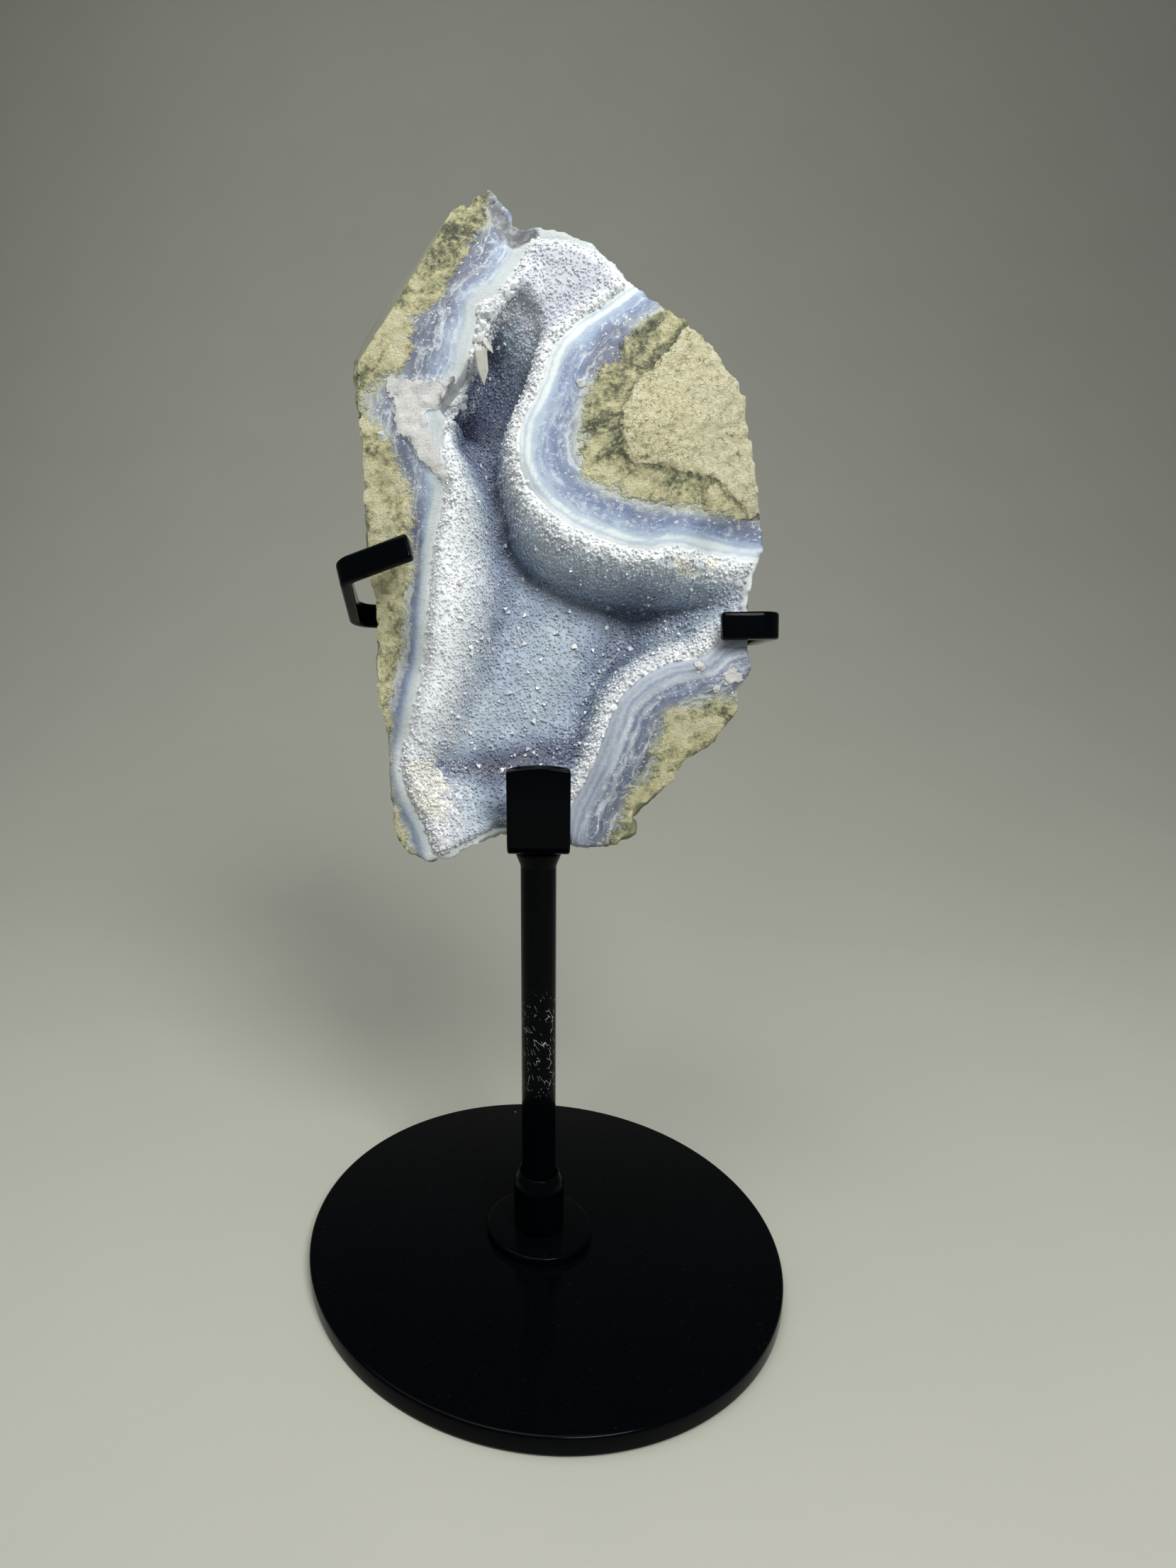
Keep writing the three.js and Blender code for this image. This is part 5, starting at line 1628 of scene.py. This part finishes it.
# %% Values at the stone's points
LOWER_LEFT_TOP = 52
SPOT_REACH = 5
SPARKLE_REACH = 4


def put_values(piece, values):
    """Stores numbers or vectors at the points of a mesh, for the material to read."""
    for name, value in values.items():
        kind = "FLOAT_VECTOR" if value.ndim == 2 else "FLOAT"
        made = piece.data.attributes.new(name, kind, "POINT")
        made.data.foreach_set("vector" if value.ndim == 2 else "value", value.astype(np.float32).ravel())


def rind_and_depth(points):
    """The field of the rind, and how far each place lies below the rim of the face."""
    x, y, z = points.T
    rind = rind_field(x, y, z, inside_distance(FACE_EDGE, x, y))
    return rind, blended_height(RIM_HEIGHTS, RIM_REACH, x, y) - z


def stone_values(points):
    """All that the materials of the stone and its crystals read, for places in the stone's frame."""
    x, y, _ = points.T
    zones = zone_distances(x, y)
    rind, below = rind_and_depth(points)
    zones["below"] = below
    to_skin = np.maximum(-zones["matrix"], 0)
    from_white = np.maximum(zones["white"], 0)
    lower_left = smooth((LOWER_LEFT_TOP - y) / 10) * zones["left"]
    zones["band"] = from_white / np.maximum(from_white + to_skin, 0.5)
    zones["band"] = zones["band"] ** (1 + 0.25 * zones["left"] * (1 - lower_left))
    zones["line"] = np.abs(zones["white"] - 0.55 - 1.5 * zones["lobe"])
    zones["lined"] = blended_height(LINE_PLACES, SPOT_REACH, x, y)
    zones["gold"] = spots(GOLD_PLACES, points)
    zones["slate"] = spots(SLATE_PLACES, points).clip(0, 1)
    # Depth below the rim plus the spots: the druzy turns this into painted shade, darker the lower a place lies.
    zones["painted_shade_depth"] = below + spots(SHADE_AND_LIGHT_SPOTS, points)
    zones["sparkle"] = blended_height(SPARKLE_PLACES, SPARKLE_REACH, x, y)
    reach = blended_height(FROST_REACH, SPOT_REACH, x, y)
    zones["frost"] = np.clip(1 + (zones["white"] + 1) / reach, 0, 1) * smooth((12 - below) / 6)
    zones["frost"] *= 1 - smooth(inside_distance(WINDOW_EDGE, x, y) - 0.8) * smooth((below - 4) / 3)
    zones["outside"] = smooth((below - 1.6) / 1.6) * smooth((rind + 2.2) / 1.4)
    zones["sawn"] = smooth((above_sawn(points) + 0.5) / 0.3) * smooth((below - 0.2) / 0.3)
    zones["place"] = points
    return zones


agate_values = stone_values(stone_points)
print("values:", list(agate_values))

# %% Agate piece
agate = show("agate_piece", to_frame(stone_points), stone_quads, agate_stone, ["agate"],
             smooth=False)
put_values(agate, agate_values)
SHADED_BY = ("matrix", "fresh", "outside", "sawn")
quad_middle = {name: agate_values[name][stone_quads].mean(axis=1) for name in SHADED_BY}
calm = (quad_middle["matrix"] < 0) & (quad_middle["fresh"] < 0) & (quad_middle["outside"] < 0.5)
calm |= quad_middle["sawn"] > 0.5
agate.data.polygons.foreach_set("use_smooth", calm)
print("agate of", len(stone_quads), "faces,", int(calm.sum()), "of them smooth")

# %% [markdown]
# ## The crust of the hollow
# Fine quartz lines the hollow as a crust a millimetre thick. It is a second field: the shell of space
# just above the stone's surface, thinned out to nothing at the white line and at the rind. A Solidify
# modifier would give a shell too, but one that cuts through itself in tight corners. The stone's field
# divided by its slope is no true distance beside a steep wall, where it leaves thin fins standing out. So
# the distance is worked out again from the surface itself, cell by cell outwards. Crystals stand on the
# crust, so its own surface only needs the lumps that they follow.

# %% Distance from the stone
CRUST_REACH = 2.0
FAR_AWAY = 9


def outer_distance(field, reach):
    """Distance from each place outside to the nearest place where the field is zero, out to a reach."""
    total = np.zeros(field.shape, np.float32)
    for axis in range(3):
        nearest = np.full(field.shape, np.inf, np.float32)
        for step in (-1, 1):
            other = np.roll(field, step, axis)
            part = CELL * field / np.maximum(field - other, 1e-6)
            nearest = np.minimum(nearest, np.where((field >= 0) & (other < 0), part, np.inf))
        total += 1 / np.maximum(nearest, 1e-3) ** 2
    away = np.where(total > 0, 1 / np.sqrt(np.maximum(total, 1e-9)), FAR_AWAY).astype(np.float32)
    for _ in range(math.ceil(reach / CELL) + 1):
        sides = [np.minimum(np.roll(away, 1, axis), np.roll(away, -1, axis)) for axis in range(3)]
        a, b, c = np.sort(np.stack(sides), axis=0)
        two = (a + b + np.sqrt(np.maximum(2 * CELL ** 2 - (a - b) ** 2, 0))) / 2
        three = a + b + c
        three = (three + np.sqrt(np.maximum(three ** 2 - 3 * (a * a + b * b + c * c - CELL ** 2), 0))) / 3
        new = np.where(a + CELL < b, a + CELL, np.where(two < c, two, three))
        away = np.where(field >= 0, np.minimum(away, new), away)
    return away


gap3 = np.where(stone3 >= 0, outer_distance(stone3, CRUST_REACH), stone3)
print("within", CRUST_REACH, "mm outside:", int(((gap3 >= 0) & (gap3 < CRUST_REACH)).sum()), "places")

# %% Crust
CRUST_TOP = 1.15
CRUST_UNDER = 0.45
LEAST_DEPTH = 3.2
OUTSIDE_CRUST = 3.0
FLAT_PLACES = [(6, 89, 6)]


def crust_cover(points, zones):
    """How much crust covers a place: 1 in the hollow, 0 at the white line and within the rind."""
    rind, below = rind_and_depth(points)
    open_part = np.maximum(-zones["white"] - 0.1, below - LEAST_DEPTH)
    thinning = 2.4 - 1.5 * spots(FLAT_PLACES, points)
    return np.minimum(smooth(open_part / thinning), smooth((-rind - 0.7) / 1.2))


shell = np.nonzero((gap3 < CRUST_REACH) & (gap3 > -CRUST_REACH / 2))
shell_points = np.stack([axis[index] for axis, index in zip(grid_axes, shell)], axis=1)
shell_zones = zone_distances(shell_points[:, 0], shell_points[:, 1])
cover = crust_cover(shell_points, shell_zones)
lumps = lattice_noise(shell_points, 1.5, 21)
knobs = grain_relief(shell_points, 1.25, 22)
rim_part = smooth(1 - np.abs(shell_zones["white"] + 1.8) / 3.0)
shell_sparkle = blended_height(SPARKLE_PLACES, SPARKLE_REACH, shell_points[:, 0], shell_points[:, 1])
top = cover * (CRUST_TOP + (0.04 + 0.18 * shell_sparkle) * lumps) - 0.35 * (1 - cover)
top -= cover * rim_part * shell_sparkle * 0.35 * (knobs - 0.5)
crust3 = np.full(stone3.shape, OUTSIDE_CRUST)
between = np.maximum(gap3[shell] - top, -gap3[shell] - CRUST_UNDER)
crust3[shell] = np.maximum(between, -steel_distance(shell_points))
crust_points, crust_quads = largest_part(*surface_net(fill_pinches(crust3)))
print("crust:", len(crust_points), "points,", len(crust_quads), "quads")

# %% [markdown]
# ## The crystals' material
# Small quartz crystals are clear, but packed over blue agate they look pale lavender with bright glints.
# Real transmission in thirty thousand crystals would be slow and grainy, so they are opaque, with a little
# light let in. Each crystal gets a random tint and the depth of its place as point attributes. The
# material makes the frosted rims bluish white and the floor pale grey blue. It paints the floor darker
# the lower it lies, down to slate in the window, as painted shade, and spots add more painted shade under
# the island and painted light on the bulging floor. Where the druzy sparkles, a low roughness and normals
# that are tilted cell by cell let single facets catch the lamp, and the random tint paints some crystals
# white as painted glints and others grey as painted shade.

# %% Crystal material
RIM_WHITE = srgb(238, 243, 249)
FLOOR_TOP = srgb(204, 209, 222)
FLOOR_PALE = srgb(181, 196, 211)
FLOOR_BLUE = srgb(142, 158, 182)
FLOOR_SLATE = srgb(101, 114, 141)
FLOOR_DEEP = srgb(68, 79, 107)
FLOOR_DARK = srgb(44, 50, 78)
DRUZY_CREAM = srgb(247, 247, 239)
GLINT = srgb(246, 247, 249)
CRYSTAL_SHADE = srgb(140, 144, 164)
# From the floor's own pale blue to slate, navy and near black, as painted shade where the floor lies lowest.
FLOOR_COLOUR_AND_SHADE = [
    (0.0, FLOOR_TOP), (0.24, FLOOR_PALE), (0.44, FLOOR_BLUE), (0.64, FLOOR_SLATE), (0.86, FLOOR_DEEP),
    (1.0, FLOOR_DARK),
]
DARKEST_SHADE_DEPTH = 20.0
GLITTER_CELLS = 3.6
QUARTZ_IOR = 1.544


def druzy_material(name, glints):
    """Glints is how strongly the random tint paints single crystals white as painted glints and grey as painted
    shade.
    """
    material, tree, shader = new_material(name)
    place = vector_of(tree, "place")
    # The floor's own pale grey blue is darkened by depth to slate and navy as painted shade in the recesses, and
    # lightened by the negative spots as painted light.
    level = plus(tree, value_of(tree, "painted_shade_depth"), centred(tree, place, 0.14, 4.0, 4.0))
    colour = ramp(tree, calc(tree, "DIVIDE", level, DARKEST_SHADE_DEPTH), FLOOR_COLOUR_AND_SHADE)
    frost = rise(tree, plus(tree, value_of(tree, "frost"), centred(tree, place, 0.5, 4.0, 0.7)), 0.05, 0.75)
    colour = mix(tree, times(tree, frost, 0.9), colour, RIM_WHITE)
    creamy = rise(tree, plus(tree, value_of(tree, "cream"), centred(tree, place, 0.5, 4.0, 6.0)), -0.4, 0.4)
    colour = mix(tree, times(tree, creamy, 0.8), colour, DRUZY_CREAM)
    tint = value_of(tree, "tint")
    sparkle = value_of(tree, "sparkle")
    lift = times(tree, sparkle, glints)
    # Painted sparkle: a high tint paints a crystal white as a painted glint, a low tint paints it grey as
    # painted shade of a facet turned from the lamp.
    colour = mix(tree, times(tree, rise(tree, tint, 0.6, 1.0), lift), colour, GLINT)
    dark = rise(tree, one_minus(tree, tint), 0.5, 1.0)
    colour = mix(tree, times(tree, dark, times(tree, lift, 0.45)), colour, CRYSTAL_SHADE)
    link(tree, colour, shader, "Base Color")
    link(tree, blend_values(tree, sparkle, 0.55, 0.18), shader, "Roughness")
    link(tree, glitter(tree, place, GLITTER_CELLS, times(tree, sparkle, 0.7)), shader, "Normal")
    shader.inputs["IOR"].default_value = QUARTZ_IOR
    let_light_in(shader, 0.4, (0.7, 0.7, 0.7))
    return material


druzy_ground = druzy_material("druzy_ground", 0.2)
druzy_points = druzy_material("druzy_points", 0.6)
print("druzy materials:", druzy_ground.name, druzy_points.name)

# %% Crust piece
DRUZY_VALUES = ("place", "painted_shade_depth", "frost", "sparkle", "cream")
CRUST_SEED = 31


def druzy_values(points, tint):
    """What the druzy material reads, with a tint for each point."""
    values = stone_values(points)
    return {**{name: values[name] for name in DRUZY_VALUES}, "tint": tint}


crust = show("crust_piece", to_frame(crust_points), crust_quads, druzy_ground,
             ["quartz_crust"])
crust_tint = np.random.default_rng(CRUST_SEED).uniform(0, 1, len(crust_points))
put_values(crust, druzy_values(crust_points, crust_tint))
print("crust piece with", len(crust.data.polygons), "faces")

# %% [markdown]
# ## Crystals on the crust
# Each small crystal is a six-sided point: a tip, six shoulders of which every second one sits higher, and
# a foot that is buried in the crust. Instancing on faces would be lighter, but each piece has to be its
# own mesh at the end, so numpy writes all crystals of one sort into one mesh. The middles of the crust's
# quads are the seats. Each seat on a frosted, sparkling rim carries two coarse crystals, and nine tenths
# of the others carry two fine ones.

# %% Fields of crystals
LEAST_GAP = 0.15


def crystal_field(name, seats, outs, radii, heights, tilt, material, seed, sides=6):
    """One mesh of crystals: seat, direction, radius and height of each, in the stone's frame."""
    rng = np.random.default_rng(seed)
    count = len(seats)
    axes = outs + rng.normal(0, tilt, (count, 3))
    axes /= np.linalg.norm(axes, axis=1)[:, None]
    first = np.cross(axes, rng.normal(0, 1, (count, 3)))
    first /= np.linalg.norm(first, axis=1)[:, None]
    second = np.cross(axes, first)
    points = np.zeros((count, sides + 2, 3))
    points[:, 0] = seats + axes * heights[:, None]
    for s in range(sides):
        angle = 2 * math.pi * s / sides
        reach = radii * rng.uniform(0.82, 1.12, count)
        level = heights * (0.42 if s % 2 else 0.12) * rng.uniform(0.7, 1.3, count)
        ring = first * math.cos(angle) + second * math.sin(angle)
        points[:, 1 + s] = seats + ring * reach[:, None] + axes * level[:, None]
    points[:, -1] = seats - axes * radii[:, None] * 0.8
    pattern = [(0, 1 + s, 1 + (s + 1) % sides) for s in range(sides)]
    pattern += [(sides + 1, 1 + (s + 1) % sides, 1 + s) for s in range(sides)]
    faces = (np.array(pattern)[None] + (sides + 2) * np.arange(count)[:, None, None]).reshape(-1, 3)
    piece = show(name, to_frame(points.reshape(-1, 3)), faces, material, smooth=False)
    tint = np.repeat(rng.uniform(0, 1, count), sides + 2)
    put_values(piece, druzy_values(np.repeat(seats, sides + 2, axis=0), tint))
    return piece


def crust_seats():
    """The middle of each quad on the crust's open side, and the direction out of it."""
    middle = crust_points[crust_quads].mean(axis=1)
    middle = middle[sample(gap3, middle) > LEAST_GAP]
    return middle, slope(crust3, middle)


seats, outs = crust_seats()
print("seats:", len(seats))

# %% Rim and floor crystals
SEAT_JITTER = 0.16
FINE_SHARE = 0.9

picker = np.random.default_rng(41)
seat_values = stone_values(seats)
frosted = (seat_values["frost"] * 1.4).clip(0, 1)
coarse = frosted * seat_values["sparkle"] > picker.uniform(0.1, 0.7, len(seats))
for number in (0, 1):
    size = picker.uniform(0.16, 0.32, coarse.sum())
    jitter = picker.normal(0, SEAT_JITTER, (coarse.sum(), 3))
    crystal_field(f"rim_crystals_{number}", seats[coarse] + jitter, outs[coarse], size,
                  size * picker.uniform(0.7, 1.3, coarse.sum()), 0.5, druzy_points, 45 + number)
fine = ~coarse & (picker.uniform(0, 1, len(seats)) < FINE_SHARE)
fine_seats, fine_outs = seats[fine], outs[fine]
for number in (0, 1):
    size = picker.uniform(0.13, 0.24, len(fine_seats))
    jitter = picker.normal(0, SEAT_JITTER, fine_seats.shape)
    crystal_field(f"floor_crystals_{number}", fine_seats + jitter, fine_outs, size,
                  size * picker.uniform(0.3, 0.6, len(size)), 0.16, druzy_points, 43 + number)
print("crystals:", 2 * int(coarse.sum()), "on the rims,", 2 * len(fine_seats), "on the floor")

# %% [markdown]
# ## Larger crystals
# Here and there a larger crystal stands out of the druzy and flashes white: its near-white colour is a
# painted glint, and its low roughness adds real ones. Most lie on the floor, some in the window. Spots of
# white in the material would look flat from the side, so these are three-sided crystals of their own, at
# the seats that are nearest to random points about a few chosen places.

# %% Bright crystals
# Near white as a painted glint, with a touch of lavender.
GLINT_WHITE = srgb(250, 250, 250)
QUARTZ_LAVENDER = srgb(226, 230, 240)
SEAT_REACH = 0.4
BRIGHT_PLACES = [
    (2, 24, 9, 110), (-8, 14, 6, 70), (-8, 40, 5, 40), (8, 36, 8, 40), (-4, 78, 4, 14), (5, 85, 6, 12),
    (-12, 33, 4, 20), (12, 22, 5, 18), (22, 32, 4, 10), (-10, 3, 4, 12), (-9, 55, 3, 12), (0, 12, 6, 20),
    (-7, 60, 2, 8),
]


def quartz_material():
    material, tree, shader = new_material("glint_painted_quartz")
    place = vector_of(tree, "place")
    colour = mix(tree, noise(tree, place, 1.5, 3.0), GLINT_WHITE, QUARTZ_LAVENDER)
    link(tree, colour, shader, "Base Color")
    shader.inputs["Roughness"].default_value = 0.12
    shader.inputs["IOR"].default_value = QUARTZ_IOR
    return material


def bright_seats():
    """Picks seats round the bright places, the nearest crust seat to each random point."""
    chosen = []
    for x, y, spread, count in BRIGHT_PLACES:
        for point in picker.normal((x, y), spread, (count, 2)):
            away = np.hypot(seats[:, 0] - point[0], seats[:, 1] - point[1])
            best = away.argmin()
            if away[best] < SEAT_REACH:
                chosen.append(best)
    return np.unique(chosen)


bright = bright_seats()
glint_painted_quartz = quartz_material()
size = 0.15 + 0.45 * picker.uniform(0, 1, len(bright)) ** 2
crystal_field("bright_crystals", seats[bright] + outs[bright] * 0.15, outs[bright], size,
              size * picker.uniform(0.8, 1.6, len(bright)), 0.6, glint_painted_quartz, 51, sides=3)
print("bright crystals:", len(bright))

# %% [markdown]
# ## Clear crystals at the window
# One long blade hangs down into the window and a short one stands beside it. They are cloudy quartz, so
# they let only a third of the light through, with the refraction of quartz. Full transmission would make
# them vanish against the dark window. Blocky crystals stand along the left rim of the window. They have
# the finish of the druzy round them, but they are larger and turn their tips towards the viewer.

# %% Blades
BLADES = [((-8.9, 76, 0.1), (-8.2, 69.9, 0.5), 1.05), ((-8.2, 77, 0), (-6.8, 74.8, 0.4), 0.5)]
BLADE_RINGS = ((0, 0.7), (0.12, 1), (0.62, 0.85))
BLADE_FLATNESS = 0.5
CLOUDY_WARM = srgb(214, 216, 208)
CLOUDY_GREY = srgb(186, 188, 182)


def clear_material():
    material, tree, shader = new_material("clear_quartz")
    place = vector_of(tree, "place")
    colour = mix(tree, noise(tree, place, 0.9, 3.0), CLOUDY_WARM, CLOUDY_GREY)
    link(tree, colour, shader, "Base Color")
    shader.inputs["Roughness"].default_value = 0.1
    shader.inputs["IOR"].default_value = QUARTZ_IOR
    shader.inputs["Transmission Weight"].default_value = 0.35
    return material


def blade_piece(name, blades, material):
    """Six-sided columns with a pointed end, from root to tip."""
    points, faces = [], []
    for root, tip, radius in blades:
        root, tip = np.array(root, float), np.array(tip, float)
        along = unit(tip - root)
        first = unit(np.cross(along, (0.2, 0.1, 1)))
        second = np.cross(along, first)
        base = len(points)
        for part, share in BLADE_RINGS:
            for s in range(6):
                angle = math.pi / 3 * s + 0.3
                lean = 1 + 0.12 * (s % 2) * part
                ring = first * math.cos(angle) + second * math.sin(angle) * BLADE_FLATNESS
                ring = ring * radius * share * lean
                points.append(root + (tip - root) * part + ring)
        points += [root, tip]
        for low in (0, 6):
            for s in range(6):
                here, beside = base + low + s, base + low + (s + 1) % 6
                faces.append((here, beside, beside + 6, here + 6))
        faces += [(base + 18, base + (s + 1) % 6, base + s) for s in range(6)]
        faces += [(base + 19, base + 12 + s, base + 12 + (s + 1) % 6) for s in range(6)]
    piece = show(name, to_frame(np.array(points)), faces, material, smooth=False)
    put_values(piece, {"place": np.array(points)})
    return piece


blade_piece("blade_crystals", BLADES, clear_material())
print("blades:", len(BLADES))

# %% Blocky crystals
BLOCK_LINE = [(-4.6, 85.6), (-7.6, 82.4), (-9.2, 78.3), (-10.1, 75), (-11.6, 72.3), (-13.4, 70)]
BLOCK_TRIES = 240
BLOCK_SPREAD = 0.8
TO_VIEWER = (0.25, 0, 1.1)

line = np.array(BLOCK_LINE, float)
along_line = picker.uniform(0, len(line) - 1.001, BLOCK_TRIES)
corner = along_line.astype(int)
wanted = line[corner] + (line[corner + 1] - line[corner]) * (along_line - corner)[:, None]
wanted += picker.normal(0, BLOCK_SPREAD, wanted.shape)
blocks = []
for place in wanted:
    away = np.hypot(seats[:, 0] - place[0], seats[:, 1] - place[1]) + 0.3 * np.abs(seats[:, 2] + 1)
    blocks.append(away.argmin())
blocks = np.unique(blocks)
size = picker.uniform(0.35, 0.8, len(blocks))
crystal_field("block_crystals", seats[blocks], outs[blocks] + TO_VIEWER, size,
              size * picker.uniform(0.8, 1.4, len(blocks)), 0.35, druzy_points, 61)
print("blocky crystals:", len(blocks))
